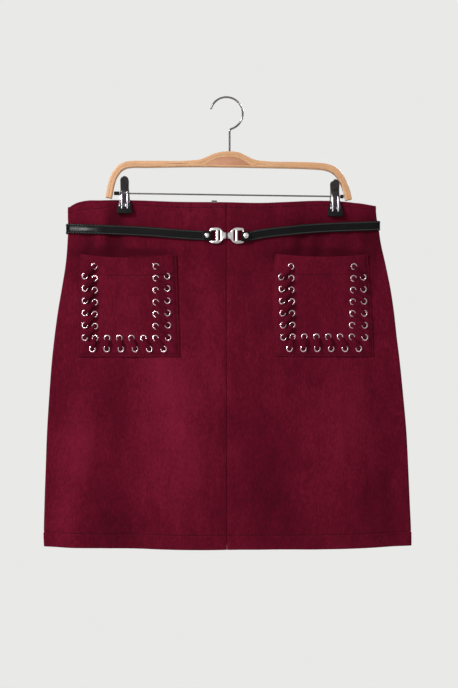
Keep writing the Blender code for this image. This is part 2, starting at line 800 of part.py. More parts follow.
def belt_line(side, hand, station, thickness):
    """Outer and inner points of the belt's two edges at one station."""
    x, turn = station
    middle = read(BELT_LINE, "front" if side == FRONT else "back", x)
    lines = ([], [])
    for above in (0.5, 0.0, -0.5):
        z = middle + above * BELT_WIDTH
        tip = tip_x(hand, z)
        reach = hand * min(hand * x, hand * tip)
        for line, offset in zip(lines, (BELT_GAP + thickness, BELT_GAP)):
            if turn > 0.0:
                line.append(cloth_point(side, hand, tip, turn, z, offset))
            else:
                line.append((reach, face_y(side, reach, z) + side * offset, z))
    return lines


def belt_mesh(columns):
    """Belt through the columns of its outer and inner edges."""
    grids = [list(zip(*[column[layer] for column in columns])) for layer in (0, 1)]
    return closed_wall(*[[list(row) for row in grid] for grid in grids])


def make_belt_front(name, hand, material):
    """Half of the belt's front, with the end turned over the buckle's bar."""
    block_end = BELT_LOOP_END + BELT_LOOP_LENGTH
    columns = [
        belt_line(FRONT, hand, (hand * x, 0.0), BELT_LOOP_THICKNESS)
        for x in (BELT_LOOP_END, block_end)
    ]
    columns.append(belt_line(FRONT, hand, (hand * (block_end + BELT_STEP_RUN), 0.0), BELT_THICKNESS))
    for station in belt_stations(FRONT, hand):
        if abs(station[0]) > block_end + BELT_STEP_REST:
            columns.append(belt_line(FRONT, hand, station, BELT_THICKNESS))
    belt = new_object(name, belt_mesh(columns), material)
    face = buckle_back()
    edges = sorted((hand * (BUCKLE_BAR_EDGE - TOUCH_GAP), hand * (BUCKLE_OUTLINE[0][0] + TOUCH_GAP)))
    slot = box_outline(edges[0], edges[1], BUCKLE_Z - BELT_WIDTH, BUCKLE_Z + BELT_WIDTH)
    depths = (face - BUCKLE_PLATE - TOUCH_GAP, face + TOUCH_GAP)
    cutter = new_object(name + "_slot", prism_mesh([slot], *depths, facing_front), material)
    add_boolean(belt, "DIFFERENCE", cutter)
    return belt


def make_belt_back(material):
    """The belt's stretch across the back."""
    left = [belt_line(BACK, LEFT, station, BELT_THICKNESS) for station in belt_stations(BACK, LEFT)]
    right = [belt_line(BACK, RIGHT, station, BELT_THICKNESS) for station in belt_stations(BACK, RIGHT)]
    return new_object("belt_back", belt_mesh(left[::-1] + right), material)


def buckle_back():
    """Y of the back of the buckle's plates."""
    return front_face(BUCKLE_OUTLINE[0][0], BUCKLE_Z) - BUCKLE_LIFT


def make_buckle_half(name, hand, material):
    """Half of the buckle: a D-shaped plate with a belt window and a slot."""
    upper = [(hand * x, BUCKLE_Z + z) for x, z in BUCKLE_OUTLINE]
    lower = [(hand * x, BUCKLE_Z - z) for x, z in reversed(BUCKLE_OUTLINE)]
    outlines = [tuple(upper + lower)]
    for near, far, half_height in (BUCKLE_WINDOW, BUCKLE_SLOT):
        left, right = sorted((hand * near, hand * far))
        outlines.append(box_outline(left, right, BUCKLE_Z - half_height, BUCKLE_Z + half_height))
    face = buckle_back()
    half = new_object(name, prism_mesh(outlines, face - BUCKLE_PLATE, face, facing_front), material)
    if hand == LEFT:
        far, near = TONGUE_ROOT
        sunk = face - TONGUE_ROOT_DEPTH
        front = face + TOUCH_GAP
        back = front + TONGUE_THICKNESS
        profile = (
            (far, sunk), (far, back), (TONGUE_REACH, back),
            (TONGUE_REACH, front), (near, front), (near, sunk),
        )
        heights = (BUCKLE_Z - TONGUE_HALF_HEIGHT, BUCKLE_Z + TONGUE_HALF_HEIGHT)
        tongue = prism_mesh([profile], *heights, facing_up)
        add_boolean(half, "UNION", new_object(name + "_tongue", tongue, material))
    return half


def make_rivet(rivet, material):
    """Domed rivet head on the belt's turned end."""
    face = front_face(rivet.x, BUCKLE_Z) - BELT_GAP - BELT_LOOP_THICKNESS - RIVET_LIFT
    rings = []
    for ring in RIVET_DOME:
        outline = circle_outline(rivet.x, BUCKLE_Z, rivet.radius * ring.radius, RIVET_SIDES)
        rings.append([(x, face - rivet.height * ring.height, z) for x, z in outline])
    return new_object(rivet.name, tube_mesh(rings), material)


def make_zip_tape(material):
    """Zip tape behind the centre back seam, under the back panels."""
    grids = ([], [])
    for k in range(ZIP_ROWS + 1):
        lines = ([], [])
        for across in ZIP_TAPE_COLUMNS:
            z = WAIST_Z - ZIP_TOP_DROP - ZIP_LENGTH * k / ZIP_ROWS
            x = seam_x(BACK, z) + across * ZIP_TAPE_HALF_WIDTH
            outside = face_y(BACK, x, z) - CLOTH - TOUCH_GAP
            for line, y in zip(lines, (outside, outside - ZIP_TAPE_THICKNESS)):
                line.append((x, y, z))
        for grid, line in zip(grids, lines):
            grid.append(line)
    return new_object("zip_tape", closed_wall(*grids), material)


def zip_pin():
    """X, Y and Z of the pull tab's pin."""
    edge = read(TOP_EDGE, "back", BACK_SEAM_WAIST_X)
    outer = outer_plate_back() + SLIDER_PLATE
    return (BACK_SEAM_WAIST_X, outer + TOUCH_GAP + EYE_RADIUS, edge - PIN_DROP)


def outer_plate_back():
    """Y of the back of the slider's outer plate, clear of the cloth down to the plate's foot."""
    spots = (-SLIDER_HALF_WIDTH, 0.0, SLIDER_HALF_WIDTH)
    foot = read(TOP_EDGE, "back", BACK_SEAM_WAIST_X) - SLIDER_DROP
    return TOUCH_GAP + max(face_y(BACK, BACK_SEAM_WAIST_X + x, foot) for x in spots)


def make_zip_slider(material):
    """Slider over the waist edge: an inner and an outer plate, a bridge, two ears and a pin."""
    x, pin_y, pin_z = zip_pin()
    edge = read(TOP_EDGE, "back", x)
    top = edge + SLIDER_TOP_GAP
    outer = outer_plate_back()
    inner = outer - 2.0 * TOUCH_GAP - CLOTH - ZIP_TAPE_THICKNESS - SLIDER_SLACK
    foot = edge - SLIDER_DROP
    crown = top + SLIDER_TOP_PLATE
    shoulder = top + SLIDER_CHAMFER[1]
    profile = (
        (inner - SLIDER_PLATE, foot), (inner, foot), (inner, top), (outer, top), (outer, foot),
        (outer + SLIDER_PLATE, foot), (outer + SLIDER_PLATE, shoulder),
        (outer + SLIDER_PLATE - SLIDER_CHAMFER[0], crown), (inner - SLIDER_PLATE + SLIDER_CHAMFER[0], crown),
        (inner - SLIDER_PLATE, shoulder),
    )
    width = (x - SLIDER_HALF_WIDTH, x + SLIDER_HALF_WIDTH)
    slider = new_object("zip_slider", prism_mesh([profile], *width, facing_side), material)
    reach = PULL_HALF_WIDTH + EAR_GAP
    ear_back = pin_y + PIN_RADIUS + EAR_LIP
    ear = box_outline(outer + EAR_SINK, ear_back, pin_z - EAR_BELOW_PIN, pin_z + EAR_ABOVE_PIN)
    for hand in (LEFT, RIGHT):
        sides = sorted((x + hand * reach, x + hand * (reach + EAR_THICKNESS)))
        name = "zip_ear_left" if hand == LEFT else "zip_ear_right"
        add_boolean(slider, "UNION", new_object(name, prism_mesh([ear], *sides, facing_side), material))
    ends = [(x + hand * (reach + EAR_THICKNESS / 2.0), pin_y, pin_z) for hand in (LEFT, RIGHT)]
    add_boolean(slider, "UNION", new_object("zip_pin", rod_mesh(*ends, PIN_RADIUS, BAR_SIDES), material))
    return slider


def make_zip_pull(material):
    """Pull tab that hangs from the slider's pin. Its object's origin is on the pin's axis."""
    x, pin_y, pin_z = zip_pin()
    low = -PULL_LENGTH
    half = PULL_THICKNESS / 2.0
    start = math.degrees(math.asin(half / EYE_RADIUS)) - 90.0
    turns = [
        math.radians(blend(start, 180.0 - start, k / EYE_STEPS)) for k in range(EYE_STEPS + 1)
    ]
    eye = [(EYE_RADIUS * math.cos(turn), EYE_RADIUS * math.sin(turn)) for turn in turns]
    rounded = low + PULL_TIP_ROUND
    tip = [(-half, rounded), (-half / 2.0, low), (half / 2.0, low), (half, rounded)]
    outline = tuple(tip + eye)
    hole = circle_outline(0.0, 0.0, EYE_HOLE_RADIUS, EYE_STEPS)
    mesh = prism_mesh([outline, hole], -PULL_HALF_WIDTH, PULL_HALF_WIDTH, facing_side)
    tab = new_object("zip_pull", mesh, material)
    tab.location = Vector((x, pin_y, pin_z)) * MM
    return tab


def make_bow(wood, filler_wood):
    """The hanger's bow: outer and inner laminations, and the filler under the crown."""
    upper = LEFT_LEG + CROWN + RIGHT_LEG
    lower = LEFT_LEG + (CROWN[0], CROWN[-1]) + RIGHT_LEG
    half_gap = GLUE_GAP / 2.0
    strips = {
        "hanger_bow_outer": ribbon_outline(upper, half_gap, half_gap + LAMINATION),
        "hanger_bow_inner": ribbon_outline(lower, -half_gap - LAMINATION, -half_gap),
    }
    for name, outline in strips.items():
        mesh = prism_mesh([outline], -BOW_HALF_DEPTH, BOW_HALF_DEPTH, facing_front)
        new_object(name, mesh, wood)
    arch = [(x, z - TOUCH_GAP) for x, z in CROWN[1:-1]]
    floor = CROWN[0][1] + TOUCH_GAP
    left_end, right_end = (CROWN[1][0] - FILLER_POINT, floor), (CROWN[-2][0] + FILLER_POINT, floor)
    outline = (left_end, *arch, right_end)
    mesh = prism_mesh([outline], -BOW_HALF_DEPTH, BOW_HALF_DEPTH, facing_front)
    new_object("hanger_filler", mesh, filler_wood)


def hook_route():
    """Centre line of the hook's wire, from its tip over the top and down the shank."""
    centre_z = WIRE_RADIUS - HOOK_RADIUS
    route = []
    for k in range(HOOK_STEPS + 1):
        angle = math.radians(blend(HOOK_TIP_DEG, HOOK_LOW_DEG, k / HOOK_STEPS))
        route.append((HOOK_RADIUS * math.cos(angle), 0.0, centre_z + HOOK_RADIUS * math.sin(angle)))
    low = route[-1][2]
    route.append((SHANK_X + SHANK_BEND_OFFSET, 0.0, low - SHANK_BEND * SHANK_BEND_SHARE))
    route.append((SHANK_X, 0.0, low - SHANK_BEND))
    route.append((SHANK_X, 0.0, SHANK_LOW_Z))
    return route


def make_hook(material):
    """Wire hook, its rounded tip to the left."""
    curve = bpy.data.curves.new("hanger_hook", "CURVE")
    curve.dimensions = "3D"
    curve.bevel_depth = WIRE_RADIUS * MM
    curve.bevel_resolution = 2
    curve.use_fill_caps = True
    route = hook_route()
    spline = curve.splines.new("POLY")
    spline.points.add(len(route) - 1)
    for point, place in zip(spline.points, route):
        point.co = (*(Vector(place) * MM), 1.0)
    curve.materials.append(material)
    hook = bpy.data.objects.new("hanger_hook", curve)
    bpy.context.scene.collection.objects.link(hook)
    return hook


def make_bar(metal, plastic):
    """The clip bar between the bow's legs, with a sleeve at each end."""
    left = Vector((BAR_LEFT[0], 0.0, BAR_LEFT[1]))
    right = Vector((BAR_RIGHT[0], 0.0, BAR_RIGHT[1]))
    run = (right - left).normalized()
    left_end = left + run * SLEEVE_LEFT_LENGTH
    right_end = right - run * SLEEVE_RIGHT_LENGTH
    gap = run * TOUCH_GAP
    new_object("hanger_bar", rod_mesh(left_end + gap, right_end - gap, BAR_RADIUS, BAR_SIDES), metal)
    new_object("bar_sleeve_left", rod_mesh(left, left_end, SLEEVE_RADIUS, BAR_SIDES), plastic)
    new_object("bar_sleeve_right", rod_mesh(right_end, right, SLEEVE_RADIUS, BAR_SIDES), plastic)


def make_clip(name, clip, metal, rubber, spring_metal):
    """Sprung clip on the bar: two sheet jaws, two rubber pads and the spring round the bar."""
    jaw = ribbon_outline(JAW_PATH, -JAW_THICKNESS / 2.0, JAW_THICKNESS / 2.0)
    near = EDGE_RADIUS_WAIST + SEAM_GAP / 2.0 + PAD_CLEARANCE
    pad = box_outline(near, near + PAD_THICKNESS, clip.z + PAD_LOW, clip.z + PAD_TOP)
    width = (clip.x - JAW_HALF_WIDTH, clip.x + JAW_HALF_WIDTH)
    pad_width = (clip.x - PAD_HALF_WIDTH, clip.x + PAD_HALF_WIDTH)
    for side, place in ((FRONT, "front"), (BACK, "back")):
        bent = tuple((side * y, clip.z + z) for y, z in jaw)
        new_object(f"{name}_jaw_{place}", prism_mesh([bent], *width, facing_side), metal)
        face = tuple((side * y, z) for y, z in pad)
        new_object(f"{name}_pad_{place}", prism_mesh([face], *pad_width, facing_side), rubber)
    hole_radius = BAR_RADIUS + TOUCH_GAP
    left_end, right_end = clip.x - SPRING_HALF_LENGTH, clip.x + SPRING_HALF_LENGTH
    rings = []
    sections = (
        (left_end, SPRING_RADIUS), (left_end, hole_radius),
        (right_end, hole_radius), (right_end, SPRING_RADIUS),
    )
    for x, radius in sections:
        outline = circle_outline(0.0, bar_height(clip.x), radius, BAR_SIDES)
        rings.append([(x, y, z) for y, z in outline])
    new_object(f"{name}_spring", ring_mesh(rings), spring_metal)


def bar_height(x):
    """Z of the bar's axis at x."""
    return blend(BAR_LEFT[1], BAR_RIGHT[1], (x - BAR_LEFT[0]) / (BAR_RIGHT[0] - BAR_LEFT[0]))


def ring_mesh(rings):
    """Closed ring-shaped body whose sections meet end to end."""
    mesh = bmesh.new()
    loops = [[add_point(mesh, point) for point in ring] for ring in rings]
    for one, two in zip(loops, loops[1:] + loops[:1]):
        for k in range(len(one)):
            n = (k + 1) % len(one)
            mesh.faces.new((one[k], one[n], two[n], two[k]))
    return mesh


def build():
    """Makes every piece."""
    for thing in list(bpy.data.objects):
        bpy.data.objects.remove(thing)
    suede = finish("suede", (0.11, 0.005, 0.015), 0.9)
    lace = finish("lace", (0.12, 0.006, 0.018), 0.9)
    leather = finish("belt_leather", (0.008, 0.009, 0.008), 0.35)
    silver = finish("silver_metal", (0.8, 0.8, 0.8), 0.2, 1.0)
    tape = finish("zip_tape", (0.08, 0.004, 0.012), 0.85)
    zip_metal = finish("zip_metal", (0.1, 0.09, 0.09), 0.35, 1.0)
    wood = finish("hanger_wood", (0.72, 0.4, 0.2), 0.45)
    filler_wood = finish("filler_wood", (0.6, 0.27, 0.17), 0.5)
    chrome = finish("hook_chrome", (0.8, 0.8, 0.8), 0.15, 1.0)
    steel = finish("bar_steel", (0.35, 0.35, 0.36), 0.35, 1.0)
    plastic = finish("black_plastic", (0.012, 0.012, 0.012), 0.5)
    rubber = finish("clip_rubber", (0.012, 0.012, 0.012), 0.7)
    make_panel("panel_front_left", FRONT, LEFT, suede)
    make_panel("panel_front_right", FRONT, RIGHT, suede)
    make_panel("panel_back_left", BACK, LEFT, suede)
    make_panel("panel_back_right", BACK, RIGHT, suede)
    for name in POCKETS:
        make_pocket(name, suede)
        make_lace(name.replace("pocket", "lace"), name, lace)
    make_belt_front("belt_front_left", LEFT, leather)
    make_belt_front("belt_front_right", RIGHT, leather)
    make_belt_back(leather)
    make_buckle_half("buckle_left", LEFT, silver)
    make_buckle_half("buckle_right", RIGHT, silver)
    for rivet in RIVETS:
        make_rivet(rivet, silver)
    make_zip_tape(tape)
    make_zip_slider(zip_metal)
    make_zip_pull(zip_metal)
    make_bow(wood, filler_wood)
    make_hook(chrome)
    make_bar(steel, plastic)
    for name, clip in CLIPS.items():
        make_clip(name, clip, chrome, rubber, steel)


build()
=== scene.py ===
"""The looks of a suede mini skirt on a clip hanger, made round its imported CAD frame.

Sizes are in millimetres and every mesh is scaled to metres as it is made. X runs to the right
across the front, +Y to the back, +Z up, and the origin is the inner top of the hanger's hook.
"""

import json
import logging
import math
from dataclasses import dataclass
from enum import Enum

import bpy
import numpy as np
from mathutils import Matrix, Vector

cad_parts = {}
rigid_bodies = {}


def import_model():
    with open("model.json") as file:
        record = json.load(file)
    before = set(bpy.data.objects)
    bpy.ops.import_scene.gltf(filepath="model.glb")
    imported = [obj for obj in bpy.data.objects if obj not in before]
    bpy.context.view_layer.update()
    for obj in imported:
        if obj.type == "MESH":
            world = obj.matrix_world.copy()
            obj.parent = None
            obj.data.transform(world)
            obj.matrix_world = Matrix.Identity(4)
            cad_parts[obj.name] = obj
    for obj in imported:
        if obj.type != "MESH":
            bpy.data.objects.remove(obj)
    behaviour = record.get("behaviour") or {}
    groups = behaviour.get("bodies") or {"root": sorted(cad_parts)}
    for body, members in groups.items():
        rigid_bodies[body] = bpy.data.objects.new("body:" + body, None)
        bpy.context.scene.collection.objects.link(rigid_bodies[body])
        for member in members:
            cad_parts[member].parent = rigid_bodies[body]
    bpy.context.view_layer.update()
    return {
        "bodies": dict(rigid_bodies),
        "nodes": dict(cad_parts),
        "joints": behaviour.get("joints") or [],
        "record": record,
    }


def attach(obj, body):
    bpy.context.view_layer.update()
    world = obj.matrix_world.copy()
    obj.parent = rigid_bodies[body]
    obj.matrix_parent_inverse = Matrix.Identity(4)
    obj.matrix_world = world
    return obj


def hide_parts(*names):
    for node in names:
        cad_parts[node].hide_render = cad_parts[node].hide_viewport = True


LOG = logging.getLogger("skirt")
MM = 0.001
SKIRT_BODY = "skirt"
# name of the sheets' values of painted light and shade, laid on the suede's colour
PAINTED_SHADING_LAYER = "brushed_look_and_painted_light"
# how far along a wire's rounded end each of its rings lies
END_SHARES = (0.3, 0.6, 0.85, 0.98)
# heights of the bar's middle at the left and right clip
BAR_HEIGHTS = (-134.22, -136.70)

Array = np.ndarray
Numbers = np.ndarray | float
Materials = dict[str, bpy.types.Material]
Piece = bpy.types.Object
Socket = bpy.types.NodeSocket
Colour = tuple[float, float, float]
Rows = tuple[tuple[float, ...], ...]
Flat = tuple[float, float]


class Side(Enum):
    """Front or back of the skirt, with the sign of its Y."""

    FRONT = -1
    BACK = 1


class Hand(Enum):
    """Left or right as seen from the front, with the sign of its X."""

    LEFT = -1
    RIGHT = 1


# ---------------------------------------------------------------- numbers and lines


def placed(*parts: Numbers) -> Array:
    """Places whose numbers are these rows of numbers, or one number for all."""
    return np.stack(np.broadcast_arrays(*parts), axis=-1)


def blend(start: Numbers, end: Numbers, share: Numbers) -> Numbers:
    """Value between two numbers."""
    return start + (end - start) * share


def smooth(share: Numbers) -> Numbers:
    """Soft step from 0 to 1."""
    held = np.clip(share, 0.0, 1.0)
    return held * held * (3.0 - 2.0 * held)


def flowing(table: Rows, column: int, at: Numbers) -> Numbers:
    """Reads a table on a smooth line through its rows.

    Args:
        table: Rows that rise in their first number.
        column: The number of each row that is read.
        at: Where, in the first number.

    Returns:
        The value there.
    """
    rows = np.asarray(table, float)
    xs, ys = rows[:, 0], rows[:, column]
    slopes = np.gradient(ys, xs)
    held = np.clip(at, xs[0], xs[-1])
    k = np.clip(np.searchsorted(xs, held) - 1, 0, len(xs) - 2)
    width = xs[k + 1] - xs[k]
    t = (held - xs[k]) / width
    before = (1.0 + 2.0 * t) * (1.0 - t) ** 2 * ys[k] + t * (1.0 - t) ** 2 * width * slopes[k]
    after = t * t * (3.0 - 2.0 * t) * ys[k + 1] + t * t * (t - 1.0) * width * slopes[k + 1]
    return before + after


def lengths_along(route: Array) -> Array:
    """Length of a line from its start to each of its points."""
    steps = np.linalg.norm(np.diff(route, axis=0), axis=1)
    return np.concatenate([[0.0], np.cumsum(steps)])


def finer(route: Array, step: float) -> Array:
    """Points every step or less along a smooth line through a route.

    Args:
        route: N points.
        step: Longest distance between two points that are given back.

    Returns:
        The closer points, ends included.
    """
    route = np.asarray(route, float)
    along = lengths_along(route)
    count = max(2, int(math.ceil(along[-1] / step)) + 1)
    at = np.linspace(0.0, along[-1], count)
    columns = [flowing(tuple(zip(along, route[:, k])), 1, at) for k in range(route.shape[1])]
    return np.stack(columns, axis=1)


def unit(vectors: Array) -> Array:
    """Vectors of length 1."""
    return vectors / np.maximum(np.linalg.norm(vectors, axis=-1, keepdims=True), 1e-9)


def round_box(half_width: float, half_height: float, corner: float, steps: int) -> Array:
    """Outline of a rectangle with rounded corners.

    Args:
        half_width: Half its first size.
        half_height: Half its second size.
        corner: Radius of its corners.
        steps: Faces round each corner.

    Returns:
        The outline's points, in order.
    """
    points = []
    for quarter, (across, up) in enumerate(((1, 1), (-1, 1), (-1, -1), (1, -1))):
        for k in range(steps + 1):
            turn = math.pi / 2.0 * (quarter + k / steps)
            points.append(
                (
                    across * (half_width - corner) + corner * math.cos(turn),
                    up * (half_height - corner) + corner * math.sin(turn),
                )
            )
    return np.array(points)


def oval(sides: int, squareness: float = 1.0) -> Array:
    """Outline of a circle of radius 1, squarer where squareness is below 1."""
    turns = np.arange(sides) * 2.0 * math.pi / sides
    cos, sin = np.cos(turns), np.sin(turns)
    return placed(np.sign(cos) * np.abs(cos) ** squareness, np.sign(sin) * np.abs(sin) ** squareness)


# ---------------------------------------------------------------- Blender's steps


def choose(*things: Piece) -> None:
    """Selects these objects alone and makes the first one active."""
    for other in bpy.context.selected_objects:
        other.select_set(False)
    for thing in things:
        thing.select_set(True)
    bpy.context.view_layer.objects.active = things[0] if things else None


def settle(thing: Piece, name: str) -> Piece:
    """Names an object, applies its modifiers and puts its place in its mesh.

    Args:
        thing: The object.
        name: The piece's name.

    Returns:
        The same object, at the origin.
    """
    choose(thing)
    if thing.type != "MESH":
        bpy.ops.object.convert(target="MESH")
        thing = bpy.context.view_layer.objects.active
    for modifier in list(thing.modifiers):
        bpy.ops.object.modifier_apply(modifier=modifier.name)
    bpy.ops.object.transform_apply(location=True, rotation=True, scale=True)
    thing.name = name
    thing.data.name = name
    return thing


def face_outwards(thing: Piece) -> None:
    """Merges a closed mesh's doubles and turns its faces outwards."""
    choose(thing)
    bpy.ops.object.mode_set(mode="EDIT")
    bpy.ops.mesh.select_all(action="SELECT")
    bpy.ops.mesh.remove_doubles(threshold=0.002 * MM)
    bpy.ops.mesh.normals_make_consistent(inside=False)
    bpy.ops.object.mode_set(mode="OBJECT")


def shade(thing: Piece, sharp_deg: float = 40.0) -> None:
    """Shades a mesh smooth, with edges sharper than an angle left crisp."""
    choose(thing)
    bpy.ops.object.shade_smooth_by_angle(angle=math.radians(sharp_deg))


def mesh_object(name: str, points: Array, faces: list, flow: Array | None = None) -> Piece:
    """Object of points in millimetres and faces.

    Args:
        name: The piece's name.
        points: N by 3 places.
        faces: Corners of each face.
        flow: N by 2 places on the flat cloth or along the strand, for the UV map.

    Returns:
        The new object.
    """
    mesh = bpy.data.meshes.new(name)
    mesh.from_pydata((np.asarray(points) * MM).tolist(), [], [list(map(int, face)) for face in faces])
    if flow is not None:
        corners = np.zeros(len(mesh.loops), int)
        mesh.loops.foreach_get("vertex_index", corners)
        layer = mesh.uv_layers.new(name="UVMap")
        layer.data.foreach_set("uv", (np.asarray(flow)[corners] * MM).ravel())
    mesh.update()
    thing = bpy.data.objects.new(name, mesh)
    bpy.context.scene.collection.objects.link(thing)
    return thing


def grid_faces(rows: int, columns: int, flip: bool) -> list:
    """Faces of a grid of points, turned over where flip is true."""
    index = np.arange(rows * columns).reshape(rows, columns)
    corners = (index[:-1, :-1], index[:-1, 1:], index[1:, 1:], index[1:, :-1])
    faces = np.stack([corner.ravel() for corner in corners], axis=1)
    return (faces[:, ::-1] if flip else faces).tolist()


def ring_faces(rings: int, sides: int) -> list:
    """Faces between rings of points, each joined to the next."""
    index = np.arange(rings * sides).reshape(rings, sides)
    after = np.roll(index, -1, axis=1)
    corners = (index[:-1], after[:-1], after[1:], index[1:])
    return np.stack([corner.ravel() for corner in corners], axis=1).tolist()


def flat_places(grid: Array) -> Array:
    """Lengths along a grid's rows and columns at each of its points, as on the uncut cloth."""
    across = np.linalg.norm(np.diff(grid, axis=1), axis=2).mean(axis=0)
    down = np.linalg.norm(np.diff(grid, axis=0), axis=2).mean(axis=1)
    u = np.concatenate([[0.0], np.cumsum(across)])
    v = np.concatenate([[0.0], np.cumsum(down)])
    return np.stack(np.meshgrid(u, v), axis=2).reshape(-1, 2)


def give_thickness(thing: Piece, thickness: float) -> None:
    """Gives a sheet its thickness, on the inner side of its faces."""
    solid = thing.modifiers.new("thickness", "SOLIDIFY")
    solid.thickness = thickness * MM
    solid.offset = -1.0
    settle(thing, thing.name)


def sweep(name: str, centres: Array, widths: Array, heights: Array, section: Array) -> Piece:
    """Closed body of one outline that is carried along a line.

    Args:
        name: The piece's name.
        centres: N places of the line.
        widths: N directions of the outline's first number, with its scale.
        heights: N directions of its second number, with its scale.
        section: The outline, either M by 2 or N by M by 2.

    Returns:
        The new object, with its length along U.
    """
    outline = np.broadcast_to(section, (len(centres), *np.shape(section)[-2:]))
    grid = centres[:, None] + widths[:, None] * outline[..., :1] + heights[:, None] * outline[..., 1:]
    rings, sides = grid.shape[:2]
    faces = ring_faces(rings, sides)
    faces += [list(range(sides))[::-1], list(range((rings - 1) * sides, rings * sides))]
    lengths = (lengths_along(centres), lengths_along(grid[rings // 2]))
    flow = np.stack(np.meshgrid(*lengths, indexing="ij"), axis=2).reshape(-1, 2)
    thing = mesh_object(name, grid.reshape(-1, 3), faces, flow)
    face_outwards(thing)
    shade(thing)
    return thing


def rod(name: str, route: Array, radius: float, sides: int = 16) -> Piece:
    """Round wire along a route in a plane across Y, with rounded ends.

    Args:
        name: The piece's name.
        route: N places.
        radius: The wire's radius.
        sides: Faces round the wire.

    Returns:
        The new object.
    """
    route = np.asarray(route, float)
    tangents = unit(np.gradient(route, axis=0))
    ahead = np.array([0.0, 1.0, 0.0])
    ends = []
    for tangent, end, sign in ((tangents[0], route[0], -1.0), (tangents[-1], route[-1], 1.0)):
        caps = []
        for share in END_SHARES:
            caps.append((end + sign * tangent * radius * share, math.sqrt(1.0 - share * share)))
        ends.append(caps)
    start, finish = ends
    centres = np.array([place for place, _ in start[::-1]] + list(route) + [place for place, _ in finish])
    sizes = np.array([size for _, size in start[::-1]] + [1.0] * len(route) + [size for _, size in finish])
    runs = np.concatenate([[tangents[0]] * len(start), tangents, [tangents[-1]] * len(finish)])
    widths = unit(np.cross(runs, ahead)) * (radius * sizes)[:, None]
    heights = np.broadcast_to(ahead, centres.shape) * (radius * sizes)[:, None]
    return sweep(name, centres, widths, heights, oval(sides))


def plate(name: str, outlines: list, low: float, high: float, edge: float) -> Piece:
    """Flat plate of an outline with holes, drawn in X and Z, with rounded edges.

    Args:
        name: The piece's name.
        outlines: The outer outline, then each hole, as X and Z.
        low: Y of one face.
        high: Y of the other face.
        edge: Radius of the edges.

    Returns:
        The new object.
    """
    curve = bpy.data.curves.new(name, "CURVE")
    curve.dimensions = "2D"
    curve.fill_mode = "BOTH"
    curve.extrude = (abs(high - low) / 2.0 - edge) * MM
    curve.bevel_depth = edge * MM
    curve.bevel_resolution = 2
    curve.offset = -edge * MM
    for outline in outlines:
        spline = curve.splines.new("POLY")
        spline.points.add(len(outline) - 1)
        spline.use_cyclic_u = True
        for point, (a, b) in zip(spline.points, outline):
            point.co = (a * MM, b * MM, 0.0, 1.0)
    thing = bpy.data.objects.new(name, curve)
    bpy.context.scene.collection.objects.link(thing)
    thing.rotation_euler = (math.pi / 2.0, 0.0, 0.0)
    thing.location = (0.0, (low + high) / 2.0 * MM, 0.0)
    thing = settle(thing, name)
    face_outwards(thing)
    shade(thing)
    return thing


def copies(name: str, template: Piece, places: Array, axes: Array) -> Piece:
    """One mesh of many copies of a small template.

    Args:
        name: The piece's name.
        template: The small object, in millimetres round the origin, removed afterwards.
        places: N places.
        axes: N by 3 by 3: where the template's X, Y and Z point, with their scale.

    Returns:
        The joined object.
    """
    mesh = template.data
    corners = np.zeros(len(mesh.vertices) * 3)
    mesh.vertices.foreach_get("co", corners)
    corners = corners.reshape(-1, 3)
    faces = [list(face.vertices) for face in mesh.polygons]
    points = places[:, None] + np.einsum("vk,nkj->nvj", corners, axes)
    all_faces = [[corner + n * len(corners) for corner in face] for n in range(len(places)) for face in faces]
    bpy.data.objects.remove(template)
    thing = mesh_object(name, points.reshape(-1, 3), all_faces)
    choose(thing)
    bpy.ops.object.shade_smooth()
    return thing


def stitch_template() -> Piece:
    """A short round stitch of length 2 and radius 1, its ends rounded."""
    choose()
    bpy.ops.mesh.primitive_uv_sphere_add(segments=6, ring_count=6, radius=1.0)
    ball = bpy.context.view_layer.objects.active
    ball.rotation_euler = (0.0, math.pi / 2.0, 0.0)
    return settle(ball, "stitch")


def stitches(name: str, routes: list, pitch: float, length: float, radius: float) -> Piece:
    """A row of stitches along each route.

    Args:
        name: The piece's name.
        routes: Each an N by 6 array: a place and the way out of the cloth there.
        pitch: Distance from one stitch to the next.
        length: A stitch's length.
        radius: The thread's radius.

    Returns:
        One mesh of all the stitches.
    """
    places, axes = [], []
    for route in routes:
        along = lengths_along(route[:, :3])
        at = np.arange(pitch / 2.0, along[-1], pitch)
        spots = np.stack([np.interp(at, along, route[:, k]) for k in range(6)], axis=1)
        ahead = np.stack([np.interp(at + 0.5, along, route[:, k]) for k in range(3)], axis=1)
        behind = np.stack([np.interp(at - 0.5, along, route[:, k]) for k in range(3)], axis=1)
        runs = unit(ahead - behind)
        out = unit(spots[:, 3:])
        beside = unit(np.cross(out, runs))
        places.append(spots[:, :3])
        axes.append(np.stack([runs * length / 2.0, beside * radius, out * radius], axis=1))
    return copies(name, stitch_template(), np.concatenate(places), np.concatenate(axes))


# ---------------------------------------------------------------- shading


class Value:
    """A number socket that is used in Python expressions."""

    def __init__(self, shading: "Shading", socket: Socket) -> None:
        """Wraps a socket of a finish."""
        self.shading = shading
        self.socket = socket

    def __add__(self, other: "Value | float") -> "Value":
        """Sum."""
        return self.shading.maths("ADD", self, other)

    __radd__ = __add__

    def __sub__(self, other: "Value | float") -> "Value":
        """Difference."""
        return self.shading.maths("SUBTRACT", self, other)

    def __rsub__(self, other: float) -> "Value":
        """Difference from a number."""
        return self.shading.maths("SUBTRACT", other, self)

    def __mul__(self, other: "Value | float") -> "Value":
        """Product."""
        return self.shading.maths("MULTIPLY", self, other)

    __rmul__ = __mul__


